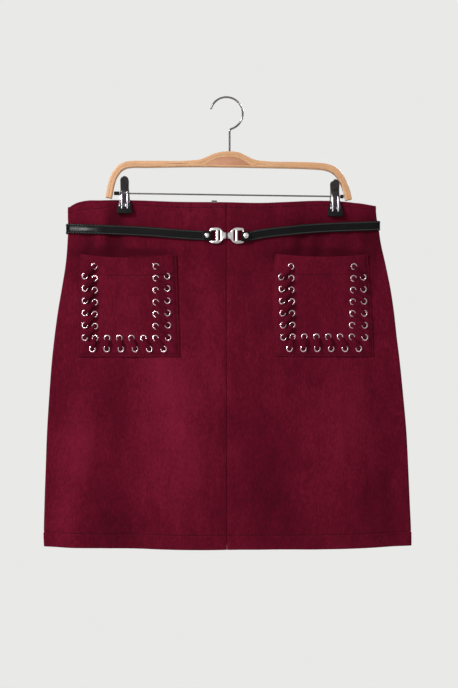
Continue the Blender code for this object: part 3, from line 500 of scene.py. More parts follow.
class Shading:
    """The nodes of one finish."""

    def __init__(self, name: str) -> None:
        """Starts a material with one Principled shader."""
        self.material = bpy.data.materials.new(name)
        self.material.use_nodes = True
        self.tree = self.material.node_tree
        self.shader = self.tree.nodes["Principled BSDF"]

    def feed(self, socket: Socket, value: object) -> None:
        """Sets a socket to a value or links it."""
        if isinstance(value, Value):
            value = value.socket
        if isinstance(value, Socket):
            self.tree.links.new(value, socket)
        else:
            socket.default_value = value

    def node(self, kind: str, settings: dict, sockets: dict) -> bpy.types.Node:
        """Adds a node.

        Args:
            kind: The node's type.
            settings: Its settings, by name.
            sockets: Values or links of its inputs, by name or number.

        Returns:
            The new node.
        """
        made = self.tree.nodes.new(kind)
        for key, value in settings.items():
            setattr(made, key, value)
        for key, value in sockets.items():
            self.feed(made.inputs[key], value)
        return made

    def maths(self, operation: str, one: "Value | float", two: "Value | float") -> Value:
        """Result of a Math node."""
        made = self.node("ShaderNodeMath", {"operation": operation}, {0: one, 1: two})
        return Value(self, made.outputs[0])

    def place(self, source: str = "Object", scale: tuple = (1.0, 1.0, 1.0)) -> Socket:
        """Object or UV coordinates, stretched by a scale."""
        if source == "UV":
            start = self.node("ShaderNodeUVMap", {"uv_map": "UVMap"}, {}).outputs[0]
        else:
            start = self.node("ShaderNodeTexCoord", {}, {}).outputs[source]
        return self.node("ShaderNodeMapping", {}, {"Vector": start, "Scale": scale}).outputs[0]

    def noise(self, place: Socket, scale: float, detail: float = 3.0, rough: float = 0.5,
              swirl: float = 0.0) -> Value:
        """Noise, from 0 to 1."""
        sockets = {"Vector": place, "Scale": scale, "Detail": detail, "Roughness": rough, "Distortion": swirl}
        return Value(self, self.node("ShaderNodeTexNoise", {}, sockets).outputs[0])

    def cells(self, place: Socket, scale: float) -> Value:
        """Distance to the nearest cell's middle."""
        made = self.node("ShaderNodeTexVoronoi", {}, {"Vector": place, "Scale": scale})
        return Value(self, made.outputs[0])

    def waves(self, place: Socket, scale: float, direction: str) -> Value:
        """Even bands across a direction."""
        settings = {"wave_type": "BANDS", "bands_direction": direction}
        made = self.node("ShaderNodeTexWave", settings, {"Vector": place, "Scale": scale})
        return Value(self, made.outputs[1])

    def spread(self, value: Value, low: float, high: float, to_low: float, to_high: float) -> Value:
        """Value moved from one range to another, and kept in it."""
        sockets = {0: value, 1: low, 2: high, 3: to_low, 4: to_high}
        return Value(self, self.node("ShaderNodeMapRange", {}, sockets).outputs[0])

    def mix(self, share: Value, one: object, two: object) -> Socket:
        """Mix of two colours."""
        one = (*one, 1.0) if isinstance(one, tuple) and len(one) == 3 else one
        two = (*two, 1.0) if isinstance(two, tuple) and len(two) == 3 else two
        made = self.node("ShaderNodeMix", {"data_type": "RGBA"}, {0: share, 6: one, 7: two})
        return made.outputs[2]

    def raise_by(self, height: Value, strength: float, depth: float) -> None:
        """Bumps the surface by a height, with its full depth in millimetres."""
        sockets = {"Height": height, "Strength": strength, "Distance": depth * MM}
        bump = self.node("ShaderNodeBump", {}, sockets)
        self.feed(self.shader.inputs["Normal"], bump.outputs[0])

    def set(self, **values: object) -> None:
        """Sets or links the shader's own sockets, with _ for a space in their names."""
        for key, value in values.items():
            self.feed(self.shader.inputs[key.replace("_", " ")], value)


@dataclass(frozen=True)
class SuedeFinish:
    """Faux suede with a soft nap, with painted light and shade where its sheet says."""

    name: str
    deep: Colour = (0.052, 0.0016, 0.0072)
    body: Colour = (0.100, 0.0034, 0.0138)
    raised: Colour = (0.168, 0.0085, 0.0265)

    def make(self) -> bpy.types.Material:
        """Clouds, brushed patches and fine grain in three tones of one colour, plus the sheet's painted light
        and shade.
        """
        s = Shading(self.name)
        place = s.place()
        brushed_look_and_painted_light = s.place("Object", (1.0, 1.0, 0.45))
        clouds = s.noise(place, 11.0, 3.0, 0.5, 0.4)
        patches = s.noise(brushed_look_and_painted_light, 46.0, 4.0, 0.6, 0.8)
        nap_and_painted_light = s.noise(brushed_look_and_painted_light, 420.0, 3.0, 0.6)
        grain = s.noise(place, 1500.0, 2.0, 0.6)
        tone = (clouds * 0.20 + patches * 0.20 + nap_and_painted_light * 0.38 + grain * 0.22 - 0.5) * 3.0 + 0.5
        # adds the sheet's painted light and shade to the tone, and so to the colour
        tone = tone + Value(s, s.node("ShaderNodeAttribute", {"attribute_name": PAINTED_SHADING_LAYER}, {}).outputs[2])
        low = s.mix(s.spread(tone, 0.0, 0.55, 0.0, 1.0), self.deep, self.body)
        full = s.mix(s.spread(tone, 0.5, 1.15, 0.0, 1.0), low, self.raised)
        s.set(Base_Color=full, Roughness=s.spread(nap_and_painted_light, 0.3, 0.7, 0.82, 0.96))
        s.set(Specular_IOR_Level=0.04, Sheen_Weight=0.20, Sheen_Roughness=0.45)
        s.set(Sheen_Tint=(0.60, 0.08, 0.18, 1.0))
        s.raise_by(nap_and_painted_light * 0.45 + grain * 0.35 + patches * 0.5, 0.5, 0.35)
        return s.material


@dataclass(frozen=True)
class LeatherFinish:
    """Smooth black belt leather with fine pores and a soft gloss."""

    name: str
    colour: Colour = (0.0018, 0.0018, 0.0017)
    worn: Colour = (0.0040, 0.0040, 0.0039)
    # where the polish starts to fade and where it is gone, in metres
    polished_to: Flat = (-0.184, -0.172)

    def make(self) -> bpy.types.Material:
        """Pores and faint creases, with a gloss that is polished on the strap's left end."""
        s = Shading(self.name)
        place = s.place()
        pores = s.cells(place, 1300.0)
        creases = s.noise(s.place("Object", (3.0, 1.0, 0.6)), 160.0, 4.0, 0.6, 0.6)
        rub = s.noise(place, 60.0, 3.0, 0.6)
        s.set(Base_Color=s.mix(s.spread(rub, 0.45, 0.8, 0.0, 1.0), self.colour, self.worn))
        along = Value(s, s.node("ShaderNodeSeparateXYZ", {}, {0: place}).outputs[0])
        dull = s.spread(along, *self.polished_to, 0.0, 0.40)
        s.set(Roughness=s.spread(rub, 0.3, 0.7, 0.14, 0.22) + dull, Specular_IOR_Level=0.11)
        s.raise_by(pores * 0.5 + creases * 0.6, 0.12, 0.08)
        return s.material


@dataclass(frozen=True)
class MetalFinish:
    """Metal with faint brushing and small stains."""

    name: str
    colour: Colour
    dull: Colour
    gloss: Flat = (0.08, 0.2)
    brushing: float = 0.05

    def make(self) -> bpy.types.Material:
        """Two close tones and a roughness that varies between them."""
        s = Shading(self.name)
        place = s.place()
        stains = s.noise(place, 190.0, 4.0, 0.6)
        lines = s.noise(s.place("Object", (0.6, 4.0, 4.0)), 1100.0, 2.0, 0.5)
        s.set(Base_Color=s.mix(s.spread(stains, 0.35, 0.75, 0.0, 1.0), self.colour, self.dull))
        s.set(Metallic=1.0, Roughness=s.spread(stains * 0.7 + lines * 0.3, 0.3, 0.7, *self.gloss))
        s.raise_by(lines, self.brushing, 0.1)
        return s.material


@dataclass(frozen=True)
class WoodFinish:
    """Pale bent wood whose grain runs along the bow."""

    name: str
    pale: Colour
    brown: Colour
    source: str = "UV"

    def make(self) -> bpy.types.Material:
        """Long fibres, growth bands and pores under a satin lacquer."""
        s = Shading(self.name)
        stretch = (1.0, 9.0, 9.0) if self.source == "Object" else (1.0, 9.0, 1.0)
        along = s.place(self.source, stretch)
        bands = s.noise(along, 22.0, 4.0, 0.55, 1.2)
        fibres = s.noise(along, 150.0, 4.0, 0.65)
        fleck = s.noise(along, 480.0, 2.0, 0.6)
        tone = bands * 0.5 + fibres * 0.35 + fleck * 0.15
        s.set(Base_Color=s.mix(s.spread(tone, 0.34, 0.68, 0.0, 1.0), self.pale, self.brown))
        s.set(Roughness=s.spread(fibres, 0.3, 0.7, 0.36, 0.52), Coat_Weight=0.2, Coat_Roughness=0.3)
        s.raise_by(fibres * 0.6 + fleck * 0.4, 0.25, 0.12)
        return s.material


@dataclass(frozen=True)
class MouldedFinish:
    """Matt black plastic or rubber."""

    name: str
    colour: Colour
    rubbed: Colour
    gloss: Flat = (0.45, 0.65)

    def make(self) -> bpy.types.Material:
        """Fine moulded grain, with paler rubbed spots."""
        s = Shading(self.name)
        place = s.place()
        grain = s.noise(place, 1700.0, 2.0, 0.6)
        rub = s.noise(place, 130.0, 4.0, 0.6)
        s.set(Base_Color=s.mix(s.spread(rub, 0.5, 0.8, 0.0, 1.0), self.colour, self.rubbed))
        s.set(Roughness=s.spread(rub, 0.3, 0.7, *self.gloss), Specular_IOR_Level=0.15)
        s.raise_by(grain, 0.3, 0.12)
        return s.material


@dataclass(frozen=True)
class TapeFinish:
    """Woven zip tape."""

    name: str
    thread: Colour = (0.075, 0.0035, 0.011)
    gap: Colour = (0.028, 0.001, 0.004)

    def make(self) -> bpy.types.Material:
        """A fine twill of two tones."""
        s = Shading(self.name)
        place = s.place()
        weave = s.waves(place, 420.0, "X") * 0.5 + s.waves(place, 420.0, "Z") * 0.5
        s.set(Base_Color=s.mix(s.spread(weave, 0.2, 0.8, 0.0, 1.0), self.gap, self.thread))
        s.set(Roughness=s.spread(weave, 0.0, 1.0, 0.8, 0.92), Specular_IOR_Level=0.15)
        s.raise_by(weave, 0.5, 0.2)
        return s.material


@dataclass(frozen=True)
class ThreadFinish:
    """Twisted sewing thread."""

    name: str
    light: Colour
    dark: Colour

    def make(self) -> bpy.types.Material:
        """Slanting plies in two tones."""
        s = Shading(self.name)
        place = s.place()
        plies = s.noise(place, 1800.0, 2.0, 0.5)
        s.set(Base_Color=s.mix(s.spread(plies, 0.3, 0.7, 0.0, 1.0), self.dark, self.light))
        s.set(Roughness=s.spread(plies, 0.3, 0.7, 0.6, 0.8), Specular_IOR_Level=0.2)
        s.raise_by(plies, 0.4, 0.1)
        return s.material


@dataclass(frozen=True)
class Finishes:
    """All finishes, made once, by the record's slot or their own name."""

    def make(self) -> Materials:
        """Makes every finish.

        Returns:
            The materials by name.
        """
        # the lace is the skirt's suede in darker tones: painted shade round its strands
        lace_painted_shade_tones = ((0.036, 0.0010, 0.0050), (0.074, 0.0024, 0.0100), (0.125, 0.0058, 0.0190))
        made = {
            "suede": SuedeFinish("suede"),
            "lace": SuedeFinish("lace", *lace_painted_shade_tones),
            "belt_leather": LeatherFinish("belt_leather"),
            "silver_metal": MetalFinish("silver_metal", (0.90, 0.84, 0.83), (0.74, 0.68, 0.67), (0.12, 0.22)),
            # the pink in the eyelets' silver is a painted reflection of the suede round them
            "eyelet_silver": MetalFinish(
                "eyelet_silver", (0.84, 0.62, 0.66), (0.58, 0.40, 0.43), (0.16, 0.28), 0.0
            ),
            # the ribs' chrome is a bright copy of the clips' chrome: a painted highlight
            "rib_chrome_painted_highlight": MetalFinish(
                "rib_chrome_painted_highlight", (0.74, 0.70, 0.78), (0.58, 0.55, 0.62), (0.26, 0.34), 0.0
            ),
            "zip_tape": TapeFinish("zip_tape"),
            "zip_metal": MetalFinish("zip_metal", (0.16, 0.14, 0.14), (0.08, 0.07, 0.07), (0.22, 0.4)),
            "hanger_wood": WoodFinish("hanger_wood", (0.68, 0.385, 0.198), (0.50, 0.245, 0.105)),
            "filler_wood": WoodFinish("filler_wood", (0.55, 0.262, 0.146), (0.35, 0.138, 0.068), "Object"),
            # the hook's chrome is darkened well below bright chrome: a painted dark reflection
            "hook_chrome": MetalFinish(
                "hook_chrome", (0.26, 0.25, 0.25), (0.15, 0.14, 0.14), (0.12, 0.20), 0.0
            ),
            # the clips' chrome is near black: a painted dark reflection
            "clip_chrome": MetalFinish(
                "clip_chrome", (0.11, 0.10, 0.10), (0.06, 0.05, 0.05), (0.12, 0.15), 0.0
            ),
            "bar_steel": MetalFinish("bar_steel", (0.22, 0.21, 0.21), (0.11, 0.10, 0.10), (0.2, 0.4)),
            "black_plastic": MouldedFinish("black_plastic", (0.006, 0.006, 0.006), (0.016, 0.016, 0.016)),
            "clip_rubber": MouldedFinish(
                "clip_rubber", (0.004, 0.004, 0.004), (0.011, 0.011, 0.011), (0.5, 0.7)
            ),
            "suede_thread": ThreadFinish("suede_thread", (0.080, 0.0028, 0.0100), (0.034, 0.001, 0.004)),
            "black_thread": ThreadFinish("black_thread", (0.13, 0.13, 0.127), (0.07, 0.07, 0.068)),
        }
        return {name: finish.make() for name, finish in made.items()}


def dress(thing: Piece, finish: bpy.types.Material, replaced: tuple = ()) -> Piece:
    """Gives a finished piece its material and its place in the frame.

    Args:
        thing: The piece.
        finish: Its material.
        replaced: CAD nodes that it stands for.

    Returns:
        The same piece.
    """
    thing.data.materials.clear()
    thing.data.materials.append(finish)
    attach(thing, SKIRT_BODY)
    if replaced:
        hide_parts(*replaced)
    LOG.info("%s has %d faces", thing.name, len(thing.data.polygons))
    return thing


# ---------------------------------------------------------------- the hung cloth


@dataclass(frozen=True)
class ClothShape:
    """Outer face of the hung skirt: an empty, flattened tube pinched by two clips."""

    waist_z: float = -146.0
    hem_z: float = -629.0
    half_gap: float = 0.15
    waist_radius: float = 2.2
    hem_radius: float = 3.8
    fold_ease: float = 26.0
    front_seam: float = -0.3
    back_seam: Flat = (-17.0, -6.0)
    seam_dip: Flat = (0.8, 4.0)
    front_fullness: Flat = (3.6, 15.0)
    back_fullness: Flat = (4.4, 17.0)
    clips: Rows = ((-142.2, -134.2), (152.4, -136.7))
    pad: Flat = (12.9, 28.6)
    pinch_ease: Flat = (60.0, 90.0)
    # how far below the waist the unevenness is full, and how fast its waves follow down the cloth
    uneven_below: float = 60.0
    wave_down: float = 0.7
    side_outline: Rows = (
        (-631, -253.4, 260.8), (-616, -254.1, 260.8), (-567, -253.4, 258.8), (-517, -251.7, 256.6),
        (-467, -249.9, 254), (-417, -246.9, 249.5), (-366, -243, 244.3), (-333, -239.4, 240.2),
        (-300, -235, 236.5), (-266, -229.3, 231.4), (-233, -224.1, 224.6), (-199, -221.4, 217.1),
        (-182, -220.8, 214.7), (-166, -221.2, 211.7), (-140, -221, 210.7),
    )
    top_edge: Rows = (
        (-221, -157.7, -155), (-211, -152.6, -148.6), (-197, -150.7, -144.6), (-176, -148.7, -143.8),
        (-157, -145, -143.4), (-123, -144.5, -143.6), (-68, -147, -144.8), (0, -146.8, -144.9),
        (49, -147.4, -145.6), (89, -144.9, -144), (134, -142.9, -143.2), (167, -144.2, -144.4),
        (190, -147.1, -146.2), (211, -150.3, -149.8),
    )
    hem_edge: Rows = (
        (-254, -624.9), (-200, -626.6), (-134, -627.7), (-57, -628.9), (60, -629.9),
        (115, -630.8), (188, -629.6), (261, -627.9),
    )
    # x_top, z_top, x_low, z_low, half width, height: long folds that reach the hem
    front_folds: Rows = (
        (-206, -390, -218, -640, 23, 3.6), (-130, -345, -134, -640, 29, -4.2),
        (-56, -345, -42, -640, 40, 3.6), (58, -350, 96, -640, 32, -4),
        (176, -345, 182, -640, 34, 3.6), (224, -420, 238, -640, 20, -2),
    )
    back_folds: Rows = (
        (-150, -240, -176, -640, 27, -3.6), (-92, -300, -86, -640, 30, 3.2),
        (20, -330, 34, -640, 26, -3), (96, -300, 104, -640, 28, 3),
        (158, -240, 184, -640, 26, -3.4),
    )
    fold_rise: float = 0.4
    deepest_crease: float = 1.1
    # the same, for short creases that fade at both ends
    front_creases: Rows = (
        (-158, -154, -152, -246, 9, -3.2), (-196, -158, -190, -240, 8, -2.2),
        (-176, -166, -170, -232, 9, 0.5), (112, -154, 102, -244, 9, -2.8),
        (136, -158, 130, -248, 9, -3), (201, -158, 198, -240, 8, -2.2),
        (168, -162, 172, -236, 8, -1.8), (-120, -160, -104, -228, 8, -1.4),
        (-46, -200, -30, -330, 18, -0.9), (38, -200, 26, -330, 17, -0.8),
        (-226, -260, -236, -400, 10, -1), (222, -250, 238, -390, 10, -1),
        (-170, -380, -150, -520, 20, -1.1), (60, -400, 20, -560, 24, -1),
        (190, -380, 205, -520, 18, -1.1), (-30, -420, -46, -600, 22, 0.9),
        (-200, -602, -168, -634, 5.5, -1.6), (-134, -600, -108, -634, 5.5, -1.5),
        (2, -600, 22, -634, 6, -1.9), (58, -600, 78, -634, 6, -1.1),
        (146, -604, 130, -634, 6, -1.1), (212, -600, 226, -634, 6, -1.2),
    )
    back_creases: Rows = (
        (-156, -160, -160, -236, 7, -1.4), (-118, -160, -108, -232, 8, -1.2),
        (140, -160, 134, -236, 7, -1.4), (172, -158, 180, -232, 8, -1.1),
        (-200, -158, -196, -230, 8, -1), (60, -170, 44, -300, 16, -0.9),
        (-60, -180, -48, -300, 16, -0.9), (210, -300, 222, -460, 14, -1.1),
        (-214, -300, -226, -460, 14, -1.1), (70, -420, 50, -600, 22, -1),
        (-40, -420, -56, -600, 20, 0.9),
    )
    # x, z, half width, half height and strength of the patches of painted light and shade that make the nap
    # lighter or darker
    front_painted_light_and_shade: Rows = (
        (-92, -385, 26, 40, 0.34), (-68, -440, 40, 75, 0.36), (-62, -545, 42, 50, 0.22),
        (-204, -480, 15, 95, 0.30), (-224, -570, 15, 60, 0.26), (158, -450, 48, 80, 0.22),
        (-152, -600, 42, 42, -0.42), (-150, -440, 18, 90, -0.12), (62, -500, 36, 90, -0.20),
        (66, -598, 54, 36, -0.12), (222, -590, 34, 52, -0.12), (-26, -330, 26, 80, 0.10),
        # the darkest rows from here on are painted shade below the clips and the waist, and painted shadow
        # above the two pocket mouths
        (-156, -192, 12, 44, -0.85), (-190, -212, 6, 22, -0.60), (120, -224, 52, 14, -0.80),
        (128, -184, 84, 24, -0.42), (204, -190, 12, 50, -0.40), (-172, -300, 60, 60, 0.06),
        (-142, -217, 62, 6, -0.70), (138, -217, 60, 5, -0.55),
    )
    back_painted_light_and_shade: Rows = (
        (-180, -420, 36, 90, 0.28), (-60, -470, 34, 90, -0.26), (30, -400, 40, 90, 0.26),
        (120, -520, 36, 80, -0.30), (196, -440, 26, 90, 0.22), (-110, -600, 50, 36, -0.28),
        (60, -600, 40, 36, 0.16), (-150, -200, 14, 50, -0.36), (140, -200, 16, 50, -0.36),
        (40, -260, 60, 40, -0.12), (-70, -290, 40, 50, 0.14),
    )
    # wave lengths across and down, phase and height of the cloth's slight unevenness
    unevenness: Rows = (
        (61, 83, 0.4, 0.20), (37, 140, 2.1, 0.14), (97, 47, 4, 0.17), (150, 190, 1.2, 0.30),
    )

    def brushed_look_and_painted_light(self, side: Side, x: Array, z: Array) -> Array:
        """Painted light on the nap's colour, or painted shade below 0."""
        total = np.zeros(np.shape(x))
        rows = self.front_painted_light_and_shade if side is Side.FRONT else self.back_painted_light_and_shade
        for at_x, at_z, half_width, half_height, strength in rows:
            away = ((x - at_x) / half_width) ** 2 + ((z - at_z) / half_height) ** 2
            total = total + strength * np.exp(-away)
        return total

    def drop(self, z: Numbers) -> Numbers:
        """0 at the waist to 1 at the hem, eased."""
        return smooth((self.waist_z - z) / (self.waist_z - self.hem_z))

    def edge_radius(self, z: Numbers) -> Numbers:
        """Radius of the side folds."""
        return blend(self.waist_radius, self.hem_radius, self.drop(z))

    def tip_x(self, hand: Hand, z: Numbers) -> Numbers:
        """Where the flat of the cloth ends and the side fold begins."""
        side = flowing(self.side_outline, 1 if hand is Hand.LEFT else 2, z)
        return side - hand.value * self.edge_radius(z)

    def seam_x(self, side: Side, z: Numbers) -> Numbers:
        """Place of a centre seam."""
        if side is Side.FRONT:
            return self.front_seam + 0.0 * z
        return blend(*self.back_seam, (self.waist_z - z) / (self.waist_z - self.hem_z))

    def top_z(self, side: Side, x: Numbers) -> Numbers:
        """Height of the waist edge."""
        return flowing(self.top_edge, 1 if side is Side.FRONT else 2, x)

    def hem_low(self, x: Numbers) -> Numbers:
        """Height of the hem's edge."""
        return flowing(self.hem_edge, 1, x)

    def pinch(self, x: Array, z: Array) -> Array:
        """1 where a clip presses front and back together, easing to 0 around it."""
        held = np.zeros(np.broadcast(x, z).shape)
        for clip_x, clip_z in self.clips:
            beside = np.maximum(0.0, np.abs(x - clip_x) - self.pad[0]) / self.pinch_ease[0]
            below = np.maximum(0.0, clip_z - self.pad[1] - z) / self.pinch_ease[1]
            held = np.maximum(held, 1.0 - smooth(np.hypot(beside, below)))
        return held

    def fold_heights(self, rows: Rows, x: Array, z: Array, fades: bool) -> Array:
        """Heights of folds or creases at points of the cloth.

        Args:
            rows: The folds.
            x: Places across.
            z: Heights.
            fades: Whether they fade at their lower ends too.

        Returns:
            Their sum.
        """
        total = np.zeros(np.broadcast(x, z).shape)
        for x_top, z_top, x_low, z_low, half_width, height in rows:
            along = np.clip((z_top - z) / (z_top - z_low), 0.0, 1.0)
            away = (x - blend(x_top, x_low, along)) / half_width
            ends = smooth(along / self.fold_rise)
            if fades:
                ends = ends * smooth((1.0 - along) / self.fold_rise)
            total = total + height * ends * np.exp(-away * away)
        return total

    def bulge(self, side: Side, x: Array, z: Array, creased: bool) -> Array:
        """How far the cloth stands from the middle plane beyond its edge radius."""
        left, right = self.tip_x(Hand.LEFT, z), self.tip_x(Hand.RIGHT, z)
        half = (right - left) / 2.0
        across = np.minimum(1.0, np.abs(x - (left + right) / 2.0) / half)
        fullness = self.front_fullness if side is Side.FRONT else self.back_fullness
        free = 1.0 - self.pinch(x, z)
        lens = blend(*fullness, self.drop(z)) * (1.0 - across**2) * free
        folds = self.fold_heights(self.front_folds if side is Side.FRONT else self.back_folds, x, z, False)
        ease = smooth((1.0 - across) * half / self.fold_ease)
        dip = self.seam_dip[0] * np.exp(-(((x - self.seam_x(side, z)) / self.seam_dip[1]) ** 2))
        total = lens - dip + folds * ease
        if creased:
            rows = self.front_creases if side is Side.FRONT else self.back_creases
            creases = self.fold_heights(rows, x, z, True)
            for wide, tall, phase, height in self.unevenness:
                wave = np.sin(2.0 * math.pi * (x / wide + z / tall * self.wave_down) + phase + side.value)
                creases = creases + height * wave * free * smooth((self.waist_z - z) / self.uneven_below)
            total = total + creases * ease
        return np.maximum(-self.deepest_crease if creased else 0.0, total)

    def face(self, side: Side, x: Array, z: Array, creased: bool = False) -> Array:
        """Y of the outer face."""
        return side.value * (self.half_gap + self.bulge(side, x, z, creased) + self.edge_radius(z))

    def place(self, side: Side, hand: Hand, x: Array, turn: Array, z: Array, offset: Array,
              creased: bool = False) -> Array:
        """Points of the cloth.

        Args:
            side: Front or back.
            hand: Left or right.
            x: Places across the flat part.
            turn: 0 on the flat, to 1 at the side seam.
            z: Heights.
            offset: Distance outwards from the outer face.
            creased: Whether the fine creases show.

        Returns:
            An array of places.
        """
        radius = self.edge_radius(z) + offset
        angle = turn * math.pi / 2.0
        depth = self.half_gap + self.bulge(side, x, z, creased) + radius * np.cos(angle)
        return placed(x + hand.value * radius * np.sin(angle), side.value * depth, z)


@dataclass(frozen=True)
class SkirtPanels:
    """Four suede panels with a turned waist edge, a stitched hem and tucked seams."""

    cloth: ClothShape
    thickness: float = 0.9
    turn_radius: float = 0.95
    waist_turning: float = 9.0
    waist_stitch: float = 7.0
    hem_depth: float = 20.0
    hem_lift: float = 0.45
    groove: float = 0.45
    seam_gap: float = 0.05
    zip_gap: float = 0.75
    zip_length: float = 176.0
    tuck: float = 1.25
    tuck_depth: float = 1.6
    seam_marks: tuple = (0.0, 0.12, 0.3, 0.6, 1.0, 1.8, 3.2, 5.2, 8.0)
    turn_marks: tuple = (0.12, 0.25, 0.38, 0.5, 0.62, 0.72)
    end_marks: tuple = (0.85, 0.6, 0.35, 0.15, 0.04, 0.0)
    flat_columns: int = 52
    flat_rows: int = 96
    # steps round each turned edge
    turn_steps: int = 8
    waist_drops: tuple = (1.6, 3.0, 4.8, 6.0)
    # step from the line of stitching, share of the groove's depth
    waist_groove: Rows = ((-0.6, 0.1), (-0.3, 0.6), (0.0, 1.0), (0.3, 0.6), (0.6, 0.1))
    below_groove: float = 9.5
    # first even row as a share of the length, and the last one's distance above the hem's top
    flat_reach: Flat = (0.027, 3.0)
    # step from the hem's top, offset of the cloth there
    hem_step: Rows = (
        (1.6, 0.0), (0.9, -0.1), (0.4, -0.4), (0.0, -0.6), (-0.4, -0.25), (-0.9, 0.35), (-1.6, 0.6),
    )
    hem_rises: tuple = (16.0, 13.0, 10.0, 7.0, 4.5, 2.6, 1.6)
    inner_drops: tuple = (6.0, 3.0, 1.6)
    inner_rises: tuple = (2.0, 5.0, 9.0, 13.0, 17.0)
    hem_clearance: float = 0.6
    # how far an inner layer is kept off a seam, and the distance beyond which it isn't moved
    inner_gap: Flat = (2.2, 4.4)
    inner_end_gap: Flat = (1.6, 3.2)
    zip_ease: float = 12.0
    # X of the first and last stitch, and the offset of the thread, at the waist and the hem
    waist_thread: tuple = (-208.0, 202.0, -0.25)
    hem_thread: tuple = (-246.0, 252.0, -0.4)
    thread_points: int = 300
    # pitch, length and radius of the stitches
    stitch: tuple = (3.1, 2.5, 0.24)

    def rows(self) -> list:
        """Rows of the sheet, from the turned waist edge's inner end to the hem's.

        Returns:
            Share of the way down, drop below the waist edge, rise above the hem edge, offset and
            how far the row belongs to an inner layer.
        """
        rho = self.turn_radius
        drops = (self.waist_turning, *self.inner_drops)
        rows = [(0.0, drop, 0.0, -2.0 * rho, 1.0) for drop in drops]
        for k in range(self.turn_steps + 1):
            layer = 1.0 - k / self.turn_steps
            turn = math.pi * layer
            rows.append((0.0, rho * (1.0 - math.sin(turn)), 0.0, rho * (math.cos(turn) - 1.0), layer))
        rows += [(0.0, drop, 0.0, 0.0, 0.0) for drop in self.waist_drops]
        for step, deep in self.waist_groove:
            rows.append((0.0, self.waist_stitch + step, 0.0, -self.groove * deep, 0.0))
        rows.append((0.0, self.below_groove, 0.0, 0.0, 0.0))
        start, above_hem = self.flat_reach
        end = 1.0 - (self.hem_depth + above_hem) / (self.cloth.waist_z - self.cloth.hem_z)
        rows += [(share, 0.0, 0.0, 0.0, 0.0) for share in np.linspace(start, end, self.flat_rows)]
        rows += [(1.0, 0.0, self.hem_depth + rise, step, 0.0) for rise, step in self.hem_step]
        rows += [(1.0, 0.0, rise, self.hem_lift, 0.0) for rise in self.hem_rises]
        for k in range(self.turn_steps + 1):
            layer = k / self.turn_steps
            turn = math.pi * k / self.turn_steps
            rise, step = rho * (1.0 - math.sin(turn)), self.hem_lift + rho * (math.cos(turn) - 1.0)
            rows.append((1.0, 0.0, rise, step, layer))
        inner = self.hem_lift - 2.0 * rho
        rises = (*self.inner_rises, self.hem_depth - self.hem_clearance)
        rows += [(1.0, 0.0, rise, inner, 1.0) for rise in rises]
        return rows

    def level(self, side: Side, x: Array, row: tuple) -> Array:
        """Height of a row at places across."""
        share, drop, rise = row[:3]
        return blend(self.cloth.top_z(side, x), self.cloth.hem_low(x), share) - drop + rise

    def seam_start(self, side: Side, hand: Hand, z: Array) -> Array:
        """Where a panel's edge lies at its centre seam, parted over the zip at the back."""
        gap = self.seam_gap + 0.0 * z
        if side is Side.BACK:
            low = self.cloth.waist_z - self.zip_length
            gap = gap + self.zip_gap * smooth((z - low) / self.zip_ease)
        return self.cloth.seam_x(side, z) + hand.value * gap

    def tucked(self, distance: Array) -> Array:
        """How deep the cloth turns in at a distance from a seam."""
        rest = np.clip(self.tuck - distance, 0.0, self.tuck)
        return self.tuck - np.sqrt(np.maximum(0.0, self.tuck**2 - rest**2))

    def held_back(self, marks: Array, inner: float, gap: Flat) -> Array:
        """Distances from a seam of an inner layer's points, kept off it by a gap."""
        return marks + inner * gap[0] * np.maximum(0.0, 1.0 - marks / gap[1])

    def grid(self, side: Side, hand: Hand) -> Array:
        """Points of one panel's outer face, row by row from its seam outwards."""
        cloth = self.cloth
        lines = []
        shares = np.linspace(0.0, 1.0, self.flat_columns + 1)[1:]
        for row in self.rows():
            offset, inner = row[3], row[4]
            marks = np.array((-1.0, *self.seam_marks))
            shown = np.maximum(marks, 0.0)
            near = blend(shown, self.held_back(marks, inner, self.inner_gap), inner)
            depth = -self.tucked(shown) * (1.0 - inner)
            depth[0] = -self.tuck_depth * (1.0 - inner)
            x = cloth.seam_x(side, cloth.waist_z) + hand.value * near
            z = self.level(side, x, row)
            for _ in range(2):
                x = self.seam_start(side, hand, z) + hand.value * near
                z = self.level(side, x, row)
            pieces = [cloth.place(side, hand, x, 0.0 * x, z, offset + depth, True)]
            last = x[-1]
            mean = float(np.mean(z))
            x = blend(last, cloth.tip_x(hand, mean), shares)
            z = self.level(side, x, row)
            x = blend(last, cloth.tip_x(hand, z), shares)
            z = self.level(side, x, row)
            pieces.append(cloth.place(side, hand, x, 0.0 * x, z, offset + 0.0 * x, True))
            tip, end_z = x[-1], z[-1]
            arc = float(cloth.edge_radius(end_z)) * math.pi / 2.0
            ends = np.array((*self.end_marks, -1.0))
            end_shown = np.maximum(ends, 0.0)
            end_inside = self.held_back(ends, inner, self.inner_end_gap)
            turns = np.concatenate([self.turn_marks, 1.0 - blend(end_shown, end_inside, inner) / arc])
            turn_depth = np.concatenate(
                [np.zeros(len(self.turn_marks)), -self.tucked(end_shown) * (1.0 - inner)]
            )
            turn_depth[-1] = -self.tuck_depth * (1.0 - inner)
            turns = np.maximum.accumulate(turns)
            flat = 0.0 * turns
            pieces.append(cloth.place(side, hand, tip + flat, turns, end_z + flat, offset + turn_depth, True))
            lines.append(np.concatenate(pieces))
        return np.array(lines)

    def stitch_route(self, side: Side, drop: float, rise: float) -> Array:
        """A line of stitching across the front or back, with the way out of the cloth."""
        first, last, offset = self.waist_thread if drop else self.hem_thread
        x = np.linspace(first, last, self.thread_points)
        share = 0.0 if drop else 1.0
        z = self.level(side, x, (share, drop, rise))
        y = self.cloth.face(side, x, z, True) + side.value * offset
        out = np.broadcast_to((0.0, float(side.value), 0.0), (len(x), 3))
        return np.concatenate([placed(x, y, z), out], axis=1)

